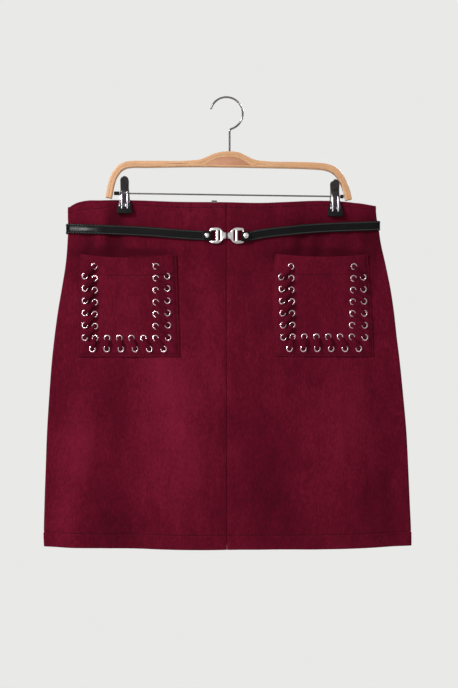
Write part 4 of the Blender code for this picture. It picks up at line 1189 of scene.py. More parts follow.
    def build(self, finishes: Materials) -> None:
        """Makes and dresses the panels and their stitching."""
        for side in Side:
            for hand in Hand:
                name = f"panel_{side.name.lower()}_{hand.name.lower()}"
                grid = self.grid(side, hand)
                rows, columns = grid.shape[:2]
                faces = grid_faces(rows, columns, side.value * hand.value < 0)
                points = grid.reshape(-1, 3)
                panel = mesh_object(f"suede_{name}", points, faces, flat_places(grid))
                # each point of the panel gets the cloth's painted light and shade
                nap_and_painted_light = panel.data.attributes.new(PAINTED_SHADING_LAYER, "FLOAT", "POINT")
                nap_and_painted_light.data.foreach_set("value", self.cloth.brushed_look_and_painted_light(side, points[:, 0], points[:, 2]))
                give_thickness(panel, self.thickness)
                shade(panel, 60.0)
                dress(panel, finishes["suede"], (name,))
        routes = [self.stitch_route(side, self.waist_stitch, 0.0) for side in Side]
        routes += [self.stitch_route(side, 0.0, self.hem_depth) for side in Side]
        thread = stitches("skirt_stitching", routes, *self.stitch)
        dress(thread, finishes["suede_thread"])


@dataclass(frozen=True)
class PocketPlan:
    """Place of one pocket and of its two rows of eyelets."""

    name: str
    # left top, right top, top z, left low, right low, low z
    edges: tuple
    left_bow: float
    mouth_sag: float
    # left top, left low, right low, right top, top z, low z
    inner_row: tuple
    outer_row: tuple
    # left, right, z
    outer_base: tuple
    gape: float = 7.5
    side_stitches: int = 6
    base_stitches: int = 6
    lace_seed: int = 11

    def side_spots(self, row: tuple, left: bool, shares: list) -> list:
        """Eyelets down one side of a row."""
        top, low = (row[0], row[1]) if left else (row[3], row[2])
        return [(blend(top, low, share), blend(row[4], row[5], share)) for share in shares]

    def base_spots(self, left: float, right: float, z: float) -> list:
        """Eyelets along the foot of a row."""
        last = self.base_stitches - 1
        return [(blend(left, right, k / last), z) for k in range(self.base_stitches)]

    def pairs(self) -> list:
        """Pairs of eyelets that one shown stitch joins, in lacing order."""
        count = self.side_stitches
        inner_shares = [k / count for k in range(count)]
        outer_shares = [k / (count - 1) for k in range(count)]
        inner = self.side_spots(self.inner_row, True, inner_shares)
        inner += self.base_spots(self.inner_row[1], self.inner_row[2], self.inner_row[5])
        inner += self.side_spots(self.inner_row, False, inner_shares)[::-1]
        outer = self.side_spots(self.outer_row, True, outer_shares)
        outer += self.base_spots(*self.outer_base)
        outer += self.side_spots(self.outer_row, False, outer_shares)[::-1]
        return list(zip(inner, outer))


LEFT_POCKET = PocketPlan(
    "left", (-203.6, -70.2, -219.2, -206.4, -65.3, -361.8), 0.0, 5.6,
    (-183.6, -182.9, -99.1, -98.7, -236.3, -335.9), (-196.9, -196.9, -81.9, -83.3, -250.1, -335.2),
    (-186.4, -88.1, -351.0),
)
RIGHT_POCKET = PocketPlan(
    "right", (68.2, 198.9, -218.0, 67.8, 206.9, -361.4), -5.4, 4.6,
    (89.5, 91.3, 175.1, 178.0, -235.8, -334.0), (75.9, 78.8, 193.7, 191.2, -250.7, -334.8),
    (87.1, 184.9, -350.6), lace_seed=12,
)


@dataclass(frozen=True)
class LacedPocket:
    """Patch pocket with a turned mouth, metal eyelets and a suede lace through them."""

    cloth: ClothShape
    plan: PocketPlan
    nominal: float = 1.4
    thickness: float = 0.62
    turn_radius: float = 0.70
    touch_gap: float = 0.3
    standoff: float = 2.8
    edge_ease: float = 9.0
    mouth_hem: float = 28.0
    edge_stitch: float = 2.4
    groove: float = 0.42
    dimple: Flat = (0.55, 6.2)
    rows_down: int = 44
    columns: int = 42
    hole_radius: float = 2.75
    eyelet_radius: float = 3.58
    eyelet_roll: float = 1.12
    eyelet_rise: float = 0.55
    lace_shown: Flat = (3.7, 2.0)
    lace_in_eyelet: Flat = (1.8, 1.25)
    lace_behind: Flat = (2.2, 0.9)
    eyelet_height: float = 0.9
    lace_tail: float = 8.0
    tilt: float = 0.07
    eyelet_seed: int = 7
    # strength and reach of the lace's pull, as shares of the dimple's
    pull: Flat = (0.5, 1.5)
    ripple: float = 0.28
    # distances of rows from an edge, one before and two after its stitching, and steps across it
    edge_marks: tuple = (1.2, 4.2, 5.6)
    groove_steps: tuple = (-0.7, -0.35, 0.0, 0.35, 0.7)
    groove_reach: float = 0.9
    even_gap: float = 1.6
    clear_of_groove: float = 1.4
    mouth_marks: tuple = (1.6, 3.2, 5.2)
    inner_drops: tuple = (24.0, 18.0, 12.0, 7.0, 3.5, 1.6)
    hem_clearance: float = 0.5
    # first share and width of the mouth hem's inner layer, as shares of the pocket's width
    inner_span: Flat = (0.014, 0.972)
    mouth_steps: int = 8
    edge_steps: int = 6
    turned_under: float = 3.5
    # how far the turned edges reach out at the corners, as a share
    corner_reach: float = 0.82
    hole_sides: int = 20
    hole_depth: float = 9.0
    eyelet_sides: tuple = (26, 10)
    eyelet_lift: float = 0.16
    # distance into the roll, depth, middle and thickness of the eyelet's barrel
    barrel: tuple = (0.28, 2.1, -0.9, 0.2)
    lace_drift: float = 0.35
    lace_lean: float = 0.12
    # share of the way between two eyelets, share of the full width
    lace_form: Rows = ((0.22, 0.9), (0.42, 1.0), (0.62, 1.0), (0.8, 0.88))
    lace_width: Flat = (0.93, 1.05)
    lace_arch: Flat = (0.97, 1.04)
    lace_step: float = 1.1
    # sides and squareness of the lace's outline
    lace_outline: tuple = (14, 0.72)
    first_stitch: float = 1.5
    thread_points: int = 60
    thread_rise: float = 0.12
    # pitch, length and radius of the stitches
    stitch: tuple = (2.7, 2.15, 0.2)

    def edge(self, left: bool, down: Array) -> Array:
        """A side edge, from the mouth at 0 to the foot at 1."""
        edges = self.plan.edges
        if left:
            return blend(edges[0], edges[3], down) + self.plan.left_bow * np.sin(math.pi * down)
        return blend(edges[1], edges[4], down)

    def stands(self, x: Array, z: Array) -> Array:
        """Gap behind the pocket: closed at the sewn edges, open at the mouth."""
        top, low = self.plan.edges[2], self.plan.edges[5]
        down = np.clip((top - z) / (top - low), 0.0, 1.0)
        from_left, from_right = x - self.edge(True, down), self.edge(False, down) - x
        sewn = np.minimum(np.minimum(from_left, from_right), z - low)
        across = np.clip(from_left / (from_left + from_right), 0.0, 1.0)
        mouth = self.plan.gape * np.sin(math.pi * across) * (1.0 - down) ** 2
        return blend(self.touch_gap, self.standoff, smooth(sewn / self.edge_ease)) + mouth

    def face(self, x: Array, z: Array) -> Array:
        """Y of the outer face of the smooth pocket."""
        return self.cloth.face(Side.FRONT, x, z) - self.stands(x, z) - self.nominal

    def sag(self, share: Array, down: Numbers) -> Array:
        """How far the cloth hangs below its even rows, most in the mouth's middle."""
        return self.plan.mouth_sag * 4.0 * share * (1.0 - share) * (1.0 - down) ** 3

    def spots(self) -> list:
        """All eyelets' places in lacing order."""
        return [spot for pair in self.plan.pairs() for spot in pair]

    def pressed(self, x: Array, z: Array) -> Array:
        """How deep the eyelets and the pull of the lace press the cloth."""
        depth = np.zeros(np.broadcast(x, z).shape)
        for spot_x, spot_z in self.spots():
            away = np.hypot(x - spot_x, z - spot_z) / self.dimple[1]
            depth = depth + self.dimple[0] * np.exp(-(away**4))
        for pair in self.plan.pairs():
            middle = (np.array(pair[0]) + np.array(pair[1])) / 2.0
            away = np.hypot(x - middle[0], z - middle[1]) / (self.pull[1] * self.dimple[1])
            depth = depth + self.pull[0] * self.dimple[0] * np.exp(-(away**2))
        wave = np.sin(x / 13.0 + z / 31.0) * np.sin(z / 17.0 - x / 43.0)
        return depth + self.ripple * wave

    def marks(self, length: float, count: int, start: tuple, stitch_at: float) -> Array:
        """Distances along one side of the pocket: close at both ends, even between them."""
        steps = self.groove_steps
        before, *after = self.edge_marks
        near = [self.turn_radius, before, *(self.edge_stitch + step for step in steps), *after]
        far = [length - mark for mark in near][::-1]
        first = [*start] if start else near
        middle = np.linspace(first[-1] + self.even_gap, far[0] - self.even_gap, count)
        marks = np.concatenate([first, middle, far])
        if stitch_at:
            marks = marks[np.abs(marks - stitch_at) > self.clear_of_groove]
            marks = np.sort(np.concatenate([marks, stitch_at + np.array(steps)]))
        return marks

    def sheet(self) -> tuple[Array, Array]:
        """Points of the pocket's outer face.

        Returns:
            The grid from the mouth hem's inner end down to the foot, and the first outer row.
        """
        top, low = self.plan.edges[2], self.plan.edges[5]
        height = top - low
        rho = self.turn_radius
        drops = (self.mouth_hem - self.hem_clearance, *self.inner_drops)
        rows = [(drop, 2.0 * rho, 1.0) for drop in drops]
        for k in range(self.mouth_steps):
            layer = 1.0 - k / self.mouth_steps
            turn = math.pi * layer
            rows.append((rho * (1.0 - math.sin(turn)), rho * (1.0 - math.cos(turn)), layer))
        first = len(rows)
        outer = self.marks(height, self.rows_down, (rho, *self.mouth_marks), self.mouth_hem)
        rows += [(drop, 0.0, 0.0) for drop in outer]
        across = self.marks(self.plan.edges[1] - self.plan.edges[0], self.columns, (), 0.0)
        span = across[-1] + rho
        grid = []
        for drop, back, inner in rows:
            level = top - drop
            down = drop / height
            left, right = self.edge(True, down), self.edge(False, down)
            share = across / span
            share = blend(share, self.inner_span[0] + share * self.inner_span[1], inner)
            x = blend(left, right, share)
            sunk = self.pressed(x, level) * (1.0 - inner)
            if not inner:
                from_edge = np.minimum(share, 1.0 - share) * (right - left)
                lines = np.abs(from_edge - self.edge_stitch)
                lines = np.minimum(lines, abs(height - drop - self.edge_stitch))
                lines = np.minimum(lines, abs(drop - self.mouth_hem))
                sunk = sunk + self.groove * smooth(1.0 - lines / self.groove_reach)
            z = level - self.sag(share, down)
            y = self.face(x, level + 0.0 * x) + back + sunk
            grid.append(placed(x, y, z))
        return np.array(grid), first

    def patch(self) -> Piece:
        """The pocket's cloth with its edges turned under and its eyelet holes cut."""
        grid, first = self.sheet()
        rows, columns = grid.shape[:2]
        points = [grid.reshape(-1, 3)]
        faces = grid_faces(rows, columns, True)
        index = np.arange(rows * columns).reshape(rows, columns)
        loop = np.concatenate([index[first:, 0], index[-1, 1:-1], index[first:, -1][::-1]])
        count = rows - first
        out = np.zeros((len(loop), 3))
        out[:count, 0] = -1.0
        out[count - 1 : len(loop) - count + 1, 2] = -1.0
        out[len(loop) - count :, 0] = 1.0
        corner = np.count_nonzero(out, axis=1) > 1
        out[corner] *= self.corner_reach
        edge = points[0][loop]
        last = loop
        rho = self.turn_radius
        turns = [math.pi * k / self.edge_steps for k in range(1, self.edge_steps + 1)]
        rings = [(rho * math.sin(turn), rho * (1.0 - math.cos(turn))) for turn in turns]
        rings.append((-self.turned_under, 2.0 * rho))
        flow = [flat_places(grid)]
        for beyond, back in rings:
            start = sum(len(part) for part in points)
            ring = np.arange(start, start + len(loop))
            points.append(edge + out * beyond + np.array([0.0, back, 0.0]))
            flow.append(flow[0][loop])
            quads = np.stack([last[:-1], ring[:-1], ring[1:], last[1:]], axis=1)
            faces += quads.tolist()
            last = ring
        name = f"suede_pocket_{self.plan.name}"
        patch = mesh_object(name, np.concatenate(points), faces, np.concatenate(flow))
        give_thickness(patch, self.thickness)
        self.cut_holes(patch)
        shade(patch, 60.0)
        return patch

    def cut_holes(self, patch: Piece) -> None:
        """Cuts the eyelets' holes through both layers."""
        choose()
        bpy.ops.mesh.primitive_cylinder_add(
            vertices=self.hole_sides, radius=self.hole_radius, depth=self.hole_depth
        )
        template = settle(bpy.context.view_layer.objects.active, "hole")
        places, axes = self.eyelet_frames(0.0)
        cutter = copies("holes", template, places, axes)
        cut = patch.modifiers.new("eyelet_holes", "BOOLEAN")
        cut.operation = "DIFFERENCE"
        cut.solver = "MANIFOLD"
        cut.object = cutter
        settle(patch, patch.name)
        bpy.data.objects.remove(cutter)

    def eyelet_frames(self, tilt: float) -> tuple[Array, Array]:
        """Places and axes of the eyelets, each with a slight tilt of its own."""
        chance = np.random.default_rng(self.eyelet_seed)
        places, axes = [], []
        for x, z in self.spots():
            y = float(self.face(np.array(x), np.array(z))) + self.dimple[0]
            lean_x, lean_z = chance.uniform(-tilt, tilt, 2) if tilt else (0.0, 0.0)
            out = unit(np.array([lean_x, -1.0, lean_z]))
            right = unit(np.array([1.0, lean_x, 0.0]))
            places.append((x, y, z))
            axes.append((right, np.cross(out, right), out))
        return np.array(places), np.array(axes)

    def eyelets(self) -> Piece:
        """Rolled metal rings with a barrel through the cloth."""
        around, round_roll = self.eyelet_sides
        choose()
        bpy.ops.mesh.primitive_torus_add(
            major_segments=around, minor_segments=round_roll,
            major_radius=self.eyelet_radius, minor_radius=self.eyelet_roll,
        )
        ring = bpy.context.view_layer.objects.active
        ring.scale = (1.0, 1.0, self.eyelet_rise)
        ring.location = (0.0, 0.0, self.eyelet_lift)
        settle(ring, "ring")
        lap, depth, middle, thickness = self.barrel
        bpy.ops.mesh.primitive_cylinder_add(
            vertices=around, radius=self.eyelet_radius - self.eyelet_roll + lap, depth=depth,
            end_fill_type="NOTHING", location=(0.0, 0.0, middle),
        )
        barrel = bpy.context.view_layer.objects.active
        metal = barrel.modifiers.new("metal", "SOLIDIFY")
        metal.thickness = thickness
        settle(barrel, "barrel")
        choose(ring, barrel)
        bpy.ops.object.join()
        return copies(f"eyelets_{self.plan.name}", ring, *self.eyelet_frames(self.tilt))

    def lace_sections(self) -> list:
        """Centre, half width and half height of the lace along its way.

        Returns:
            Sections from its first free end to its last.
        """
        chance = np.random.default_rng(self.plan.lace_seed)
        ahead = np.array([0.0, -1.0, 0.0])
        back = -ahead
        spots = [np.array([x, float(self.face(np.array(x), np.array(z))), z]) for x, z in self.spots()]
        hidden = self.nominal + self.touch_gap + self.lace_behind[1]
        lift = self.eyelet_height + self.touch_gap + self.lace_in_eyelet[1]
        swell = self.eyelet_height + self.touch_gap + self.lace_shown[1]
        first = unit(spots[0] - spots[1])
        tail = spots[0] + first * self.lace_tail + back * hidden
        sections = [(tail, np.cross(back, -first) * self.lace_behind[0], back * self.lace_behind[1])]
        for k in range(0, len(spots), 2):
            start, end = spots[k], spots[k + 1]
            before = spots[k - 1] if k else tail
            after = spots[k + 2] if k + 2 < len(spots) else end + np.array([0.0, 0.0, self.lace_tail])
            run_in, run_out = self.level_run(start - before), self.level_run(after - end)
            run = unit(end - start)
            beside = np.cross(ahead, run)
            wide, high = self.lace_in_eyelet
            sections.append(self.behind(start, run_in, back, back + run_in, hidden))
            sections.append(self.inside(start, run_in, start - end, ahead))
            sections.append((start + ahead * lift, beside * wide, (ahead - run) * high))
            drift = chance.uniform(-self.lace_drift, self.lace_drift)
            lean = chance.uniform(-self.lace_lean, self.lace_lean)
            for share, fat in self.lace_form:
                fat *= chance.uniform(*self.lace_width)
                arch = blend(*self.lace_arch, math.sin(math.pi * share))
                centre = blend(start, end, share) + ahead * swell * arch
                turned = beside + ahead * lean
                sections.append(
                    (centre + beside * drift, turned * self.lace_shown[0] * fat, ahead * self.lace_shown[1])
                )
            sections.append((end + ahead * lift, beside * wide, (ahead + run) * high))
            sections.append(self.inside(end, run_out, end - start, back))
            sections.append(self.behind(end, run_out, back, back - run_out, hidden))
        last = np.array([0.0, 0.0, 1.0])
        head = spots[-1] + last * self.lace_tail + back * hidden
        sections.append((head, np.cross(back, last) * self.lace_behind[0], back * self.lace_behind[1]))
        return sections

    def level_run(self, run: Array) -> Array:
        """Direction of a run behind the pocket, flat against it."""
        return unit(np.array([run[0], 0.0, run[2]]))

    def behind(self, spot: Array, run: Array, back: Array, leaning: Array, depth: float) -> tuple:
        """Section where the lace bends behind an eyelet."""
        return (spot + back * depth, np.cross(back, run) * self.lace_behind[0], leaning * self.lace_behind[1])

    def inside(self, spot: Array, hidden_run: Array, shown_run: Array, travel: Array) -> tuple:
        """Section half way through an eyelet, turned between the two runs that meet there."""
        shown = self.level_run(shown_run)
        if float(shown @ hidden_run) < 0.0:
            hidden_run = -hidden_run
        along = unit(shown + hidden_run)
        centre = spot + np.array([0.0, (self.nominal - self.eyelet_height) / 2.0, 0.0])
        radius = self.lace_in_eyelet[0]
        return (centre, np.cross(along, travel) * radius, along * radius)

    def lace(self) -> Piece:
        """The lace as one soft strand."""
        flipped = []
        width = self.lace_sections()[0][1]
        for centre, half_width, half_height in self.lace_sections():
            flip = -1.0 if float(half_width @ width) < 0.0 else 1.0
            width = half_width * flip
            flipped.append(np.concatenate([centre, width, half_height * flip]))
        route = finer(np.array(flipped), self.lace_step)
        outline = oval(*self.lace_outline)
        return sweep(f"suede_lace_{self.plan.name}", route[:, :3], route[:, 3:6], route[:, 6:], outline)

    def stitch_routes(self) -> list:
        """The pocket's stitching: down, along and up its sewn edges, and under its mouth hem."""
        top, low = self.plan.edges[2], self.plan.edges[5]
        height = top - low
        inset, count = self.edge_stitch, self.thread_points
        routes = []
        for left in (True, False):
            drops = np.linspace(inset + self.first_stitch, height - inset, count)
            x = self.edge(left, drops / height) + (inset if left else -inset)
            routes.append((x, drops))
        foot = np.linspace(self.plan.edges[3] + inset, self.plan.edges[4] - inset, count)
        routes.append((foot, np.full(count, height - inset)))
        left = self.edge(True, self.mouth_hem / height) + inset
        right = self.edge(False, self.mouth_hem / height) - inset
        routes.append((np.linspace(left, right, count), np.full(count, self.mouth_hem)))
        made = []
        for x, drop in routes:
            down = drop / height
            share = (x - self.edge(True, down)) / (self.edge(False, down) - self.edge(True, down))
            z = top - drop - self.sag(share, down)
            y = self.face(x, top - drop) + self.pressed(x, top - drop) + self.groove - self.thread_rise
            out = np.broadcast_to((0.0, -1.0, 0.0), (len(x), 3))
            made.append(np.concatenate([placed(x, y, z), out], axis=1))
        return made

    def build(self, finishes: Materials) -> None:
        """Makes and dresses the pocket, its eyelets, stitching and lace."""
        name = self.plan.name
        patch = dress(self.patch(), finishes["suede"], (f"pocket_{name}",))
        dress(self.eyelets(), finishes["eyelet_silver"])
        thread = stitches(f"pocket_stitching_{name}", self.stitch_routes(), *self.stitch)
        dress(thread, finishes["suede_thread"])
        dress(self.lace(), finishes["lace"], (f"lace_{name}",))


@dataclass(frozen=True)
class Belt:
    """Thin leather strap round the skirt, its ends turned over the buckle's bars."""

    cloth: ClothShape
    half_width: float = 6.65
    corner: float = 0.5
    line: Rows = (
        (-222, -183.6, -184.6), (-104, -188.2, -188), (-65, -191.4, -188.9), (-36, -193, -189),
        (36, -193, -188.4), (50, -190.2, -187.4), (88, -185.6, -185.4), (106, -183.6, -184),
        (214, -177.7, -177.7),
    )
    # distance from the middle, centre's distance off the cloth, thickness, share of the full width
    turned_end: Rows = (
        (33.35, 3.95, 1.2, 0.30), (33.1, 3.95, 1.6, 0.55), (32.5, 3.95, 1.75, 0.76), (31.4, 3.95, 1.85, 0.91),
        (30, 3.97, 1.9, 0.98), (28.4, 4, 1.9, 1), (27, 4.08, 1.8, 1), (25.6, 4.25, 1.55, 1),
        (24.5, 4.48, 1.3, 1), (23.5, 4.6, 1.25, 1), (22.6, 4.62, 1.25, 1), (21.75, 4.47, 1.25, 1),
        (21.1, 4.05, 1.25, 1), (20.72, 3.45, 1.25, 1), (20.62, 2.9, 1.25, 1), (20.72, 2.3, 1.25, 1),
        (21.1, 1.75, 1.25, 1), (21.8, 1.34, 1.25, 1), (22.7, 1.2, 1.25, 1), (24, 1.22, 1.3, 1),
        (26, 1.38, 1.6, 1), (28, 1.5, 1.8, 1), (30.5, 1.58, 1.95, 1), (33.5, 1.6, 2, 1),
    )
    offset: float = 1.6
    thickness: float = 2.0
    stitch_inset: float = 1.45
    groove: float = 0.42
    turned_step: float = 0.55
    # start and step of the even rows beyond a turned end, and an X near the side fold
    flats: tuple = (36.0, 3.0, 210.0)
    side_x: float = 216.0
    fold_steps: int = 8
    # heights at the left and right side fold, how far the back's rows stay off the folds, and their count
    back_span: tuple = (-185.0, -178.0, 3.0, 130)
    # step from the line of stitching, share of the groove's depth
    sunk_line: Rows = ((0.6, 0.0), (0.3, 0.6), (0.0, 1.0), (-0.3, 0.6), (-0.6, 0.1), (-0.9, 0.0))
    thread_sunk: float = 0.18
    # pitch, length and radius of the stitches
    stitch: tuple = (3.4, 1.45, 0.80)

    def front_line(self, hand: Hand) -> Array:
        """Centre places, thickness and width of one front half, from its tip to the side fold."""
        ends = finer(np.array(self.turned_end), self.turned_step)
        start, step, near_side = self.flats
        side_z = self.middle(Side.FRONT, hand.value * near_side)
        flats = np.arange(start, abs(float(self.cloth.tip_x(hand, side_z))), step)
        rows = np.concatenate([ends, placed(flats, self.offset, self.thickness, 1.0)])
        x = hand.value * rows[:, 0]
        z = self.middle(Side.FRONT, x)
        y = self.cloth.face(Side.FRONT, x, z) - rows[:, 1]
        return placed(x, y, z, rows[:, 2], rows[:, 3])

    def middle(self, side: Side, x: Numbers) -> Numbers:
        """Height of the belt's middle line."""
        return flowing(self.line, 1 if side is Side.FRONT else 2, x)

    def fold_line(self, side: Side, hand: Hand) -> Array:
        """Centre places round a quarter of the side fold, from the flat to the side seam."""
        z = float(self.middle(side, hand.value * self.side_x))
        tip = self.cloth.tip_x(hand, z)
        turns = np.linspace(0.0, 1.0, self.fold_steps + 1)
        if side is Side.FRONT:
            turns = turns[:-1]
        places = self.cloth.place(side, hand, tip + 0.0 * turns, turns, z + 0.0 * turns, self.offset)
        extra = np.broadcast_to((self.thickness, 1.0), (len(turns), 2))
        return np.concatenate([places, extra], axis=1)

    def route(self) -> Array:
        """The whole strap, from the left half's turned tip round the back to the right one's."""
        left = [self.front_line(Hand.LEFT), self.fold_line(Side.FRONT, Hand.LEFT)]
        left.append(self.fold_line(Side.BACK, Hand.LEFT)[::-1])
        left_z, right_z, gap, count = self.back_span
        start = self.cloth.tip_x(Hand.LEFT, left_z) + gap
        end = self.cloth.tip_x(Hand.RIGHT, right_z) - gap
        x = np.linspace(float(start), float(end), count)
        z = self.middle(Side.BACK, x)
        y = self.cloth.face(Side.BACK, x, z) + self.offset
        back = placed(x, y, z, self.thickness, 1.0)
        right = [self.front_line(Hand.RIGHT), self.fold_line(Side.FRONT, Hand.RIGHT)]
        right.append(self.fold_line(Side.BACK, Hand.RIGHT)[::-1])
        return np.concatenate([*left, back, np.concatenate(right)[::-1]])

    def frames(self, route: Array) -> tuple[Array, Array]:
        """Directions across the strap and out of it."""
        runs = unit(np.gradient(route[:, :3], axis=0))
        up = np.array([0.0, 0.0, 1.0])
        across = unit(up - runs * (runs @ up)[:, None])
        out = np.cross(across, runs)
        middle = len(route) // 2
        return across, out * np.sign(out[middle, 1])

    def section(self, thick: float, share: float) -> Array:
        """Outline of the strap, sunk along its two lines of stitching.

        Args:
            thick: The strap's thickness there.
            share: Share of its full width.

        Returns:
            The outline's points.
        """
        half = self.half_width * share
        box = round_box(half, thick / 2.0, min(self.corner, thick * 0.3), 3)
        steps, depths = np.array(self.sunk_line).T
        marks = half - self.stitch_inset * share + steps * share
        sunk = self.groove * depths
        across = np.concatenate([marks, -marks[::-1]])
        up = thick / 2.0 - np.concatenate([sunk, sunk[::-1]])
        return np.concatenate([box[:4], placed(across, up), box[4:]])

    def build(self, finishes: Materials) -> None:
        """Makes and dresses the strap and its two lines of stitching."""
        route = self.route()
        across, out = self.frames(route)
        sections = [self.section(thick, share) for thick, share in route[:, 3:5]]
        strap = sweep("belt_strap", route[:, :3], across, out, np.array(sections))
        replaced = ("belt_front_left", "belt_front_right", "belt_back")
        dress(strap, finishes["belt_leather"], replaced)
        routes = []
        for sign in (-1.0, 1.0):
            reach = (self.half_width * route[:, 4:5] - self.stitch_inset) * sign
            line = route[:, :3] + across * reach + out * (route[:, 3:4] / 2.0 - self.thread_sunk)
            routes.append(np.concatenate([line, out], axis=1))
        thread = stitches("belt_stitching", routes, *self.stitch)
        dress(thread, finishes["black_thread"])


@dataclass(frozen=True)
class Buckle:
    """Two D-shaped metal halves that hook into each other, and the rivets beside them."""

    cloth: ClothShape
    level: float = -193.0
    plate: float = 1.8
    lift: float = 2.0
    edge: float = 0.75
    # distance from the middle and half height
    outline: Rows = (
        (23.8, 0), (23.8, 4.5), (23.8, 8.4), (23.5, 9.6), (22.4, 10.3), (19, 10.8), (15.5, 11.1),
        (12.6, 10.9), (10.2, 10.1), (8.2, 8.8), (6.6, 7.2), (5.5, 5.8), (4.4, 4.7), (3, 4.2), (1.4, 4.1),
    )
    window: tuple = (15.4, 21.5, 7.1)
    slot: tuple = (9.3, 11.6, 7.3)
    window_corner: Flat = (0.8, 4)
    outline_step: float = 0.4
    # x, half width, half height, corner and its steps, both faces from the halves' backs, edge
    tongue_plate: tuple = (0.6, 5.2, 3.5, 1.2, 5, 0.45, 1.45, 0.3)
    neck_plate: tuple = (-3.0, 0.8, 2.0, 0.15, 3, -0.9, 0.6, 0.1)
    rivet_base: float = 4.85
    rivet_sides: int = 36
    dome_steps: int = 8
    # x, radius, height, radius of the hole in its top
    rivets: Rows = ((-27.9, 3.3, 1.9, 0.0), (26.7, 3.9, 1.6, 1.15))

    def back(self) -> float:
        """Y of the plates' backs."""
        reach = self.outline[0][0]
        return float(self.cloth.face(Side.FRONT, np.array(reach), np.array(self.level))) - self.lift

    def hole(self, hand: Hand, sizes: tuple) -> list:
        """Rounded rectangle through a plate."""
        near, far, half = sizes
        shape = round_box((far - near) / 2.0, half, *self.window_corner)
        return [(hand.value * (near + far) / 2.0 + a, self.level + b) for a, b in shape]

    def half(self, hand: Hand) -> Piece:
        """One half, with its window for the strap and its slot."""
        name = hand.name.lower()
        upper = finer(np.array(self.outline[2:]), self.outline_step)
        outline = [(hand.value * x, self.level + z) for x, z in upper]
        outline += [(hand.value * x, self.level - z) for x, z in upper[::-1]]
        outlines = [outline, self.hole(hand, self.window), self.hole(hand, self.slot)]
        back = self.back()
        return plate(f"buckle_half_{name}", outlines, back - self.plate, back, self.edge)

    def tongue(self) -> Piece:
        """The left half's tongue, which reaches behind the right half."""
        back = self.back()
        made = []
        for x, *box, near, far, edge in (self.tongue_plate, self.neck_plate):
            outline = [(x + a, self.level + b) for a, b in round_box(*box)]
            made.append(plate("buckle_tongue", [outline], back + near, back + far, edge))
        choose(*made)
        bpy.ops.object.join()
        return made[0]

    def rivet(self, name: str, sizes: tuple) -> Piece:
        """Domed head, turned round its middle, on a short post."""
        x, radius, height, hole = sizes
        base = float(self.cloth.face(Side.FRONT, np.array(x), np.array(self.level))) - self.rivet_base
        profile = [(hole, height * 0.75)] if hole else [(0.0, height)]
        if hole:
            profile = [(0.0, height * 0.35), (hole * 0.8, height * 0.38), (hole, height * 0.8)]
        start = hole + 0.35 if hole else 0.5
        for k in range(self.dome_steps + 1):
            turn = math.pi / 2.0 * (1.0 - k / self.dome_steps)
            profile.append((blend(start, radius, math.cos(turn)), height * (0.28 + 0.72 * math.sin(turn))))
        profile += [(radius * 0.98, height * 0.1), (radius * 0.9, 0.0)]
        sides = self.rivet_sides
        turns = np.arange(sides) * 2.0 * math.pi / sides
        rings = [placed(x + r * np.cos(turns), base - h, self.level + r * np.sin(turns))
                 for r, h in profile if r > 0.0]
        crown = profile[0][1]
        points = np.concatenate([*rings, [[x, base - crown, self.level]]])
        faces = ring_faces(len(rings), sides)
        faces += [[one, (one + 1) % sides, len(points) - 1] for one in range(sides)]
        faces.append(list(range((len(rings) - 1) * sides, len(rings) * sides))[::-1])
        head = mesh_object(name, points, faces)
        face_outwards(head)
        shade(head)
        return head

    def build(self, finishes: Materials) -> None:
        """Makes and dresses the halves and rivets."""
        for hand in Hand:
            dress(self.half(hand), finishes["silver_metal"], (f"buckle_{hand.name.lower()}",))
        # the tongue wears the clips' near-black chrome: painted shade in the buckle's middle
        dress(self.tongue(), finishes["clip_chrome"])
        for name, sizes in zip(("left", "right"), self.rivets):
            rivet = self.rivet(f"belt_rivet_{name}", sizes)
            dress(rivet, finishes["silver_metal"], (f"rivet_{name}",))


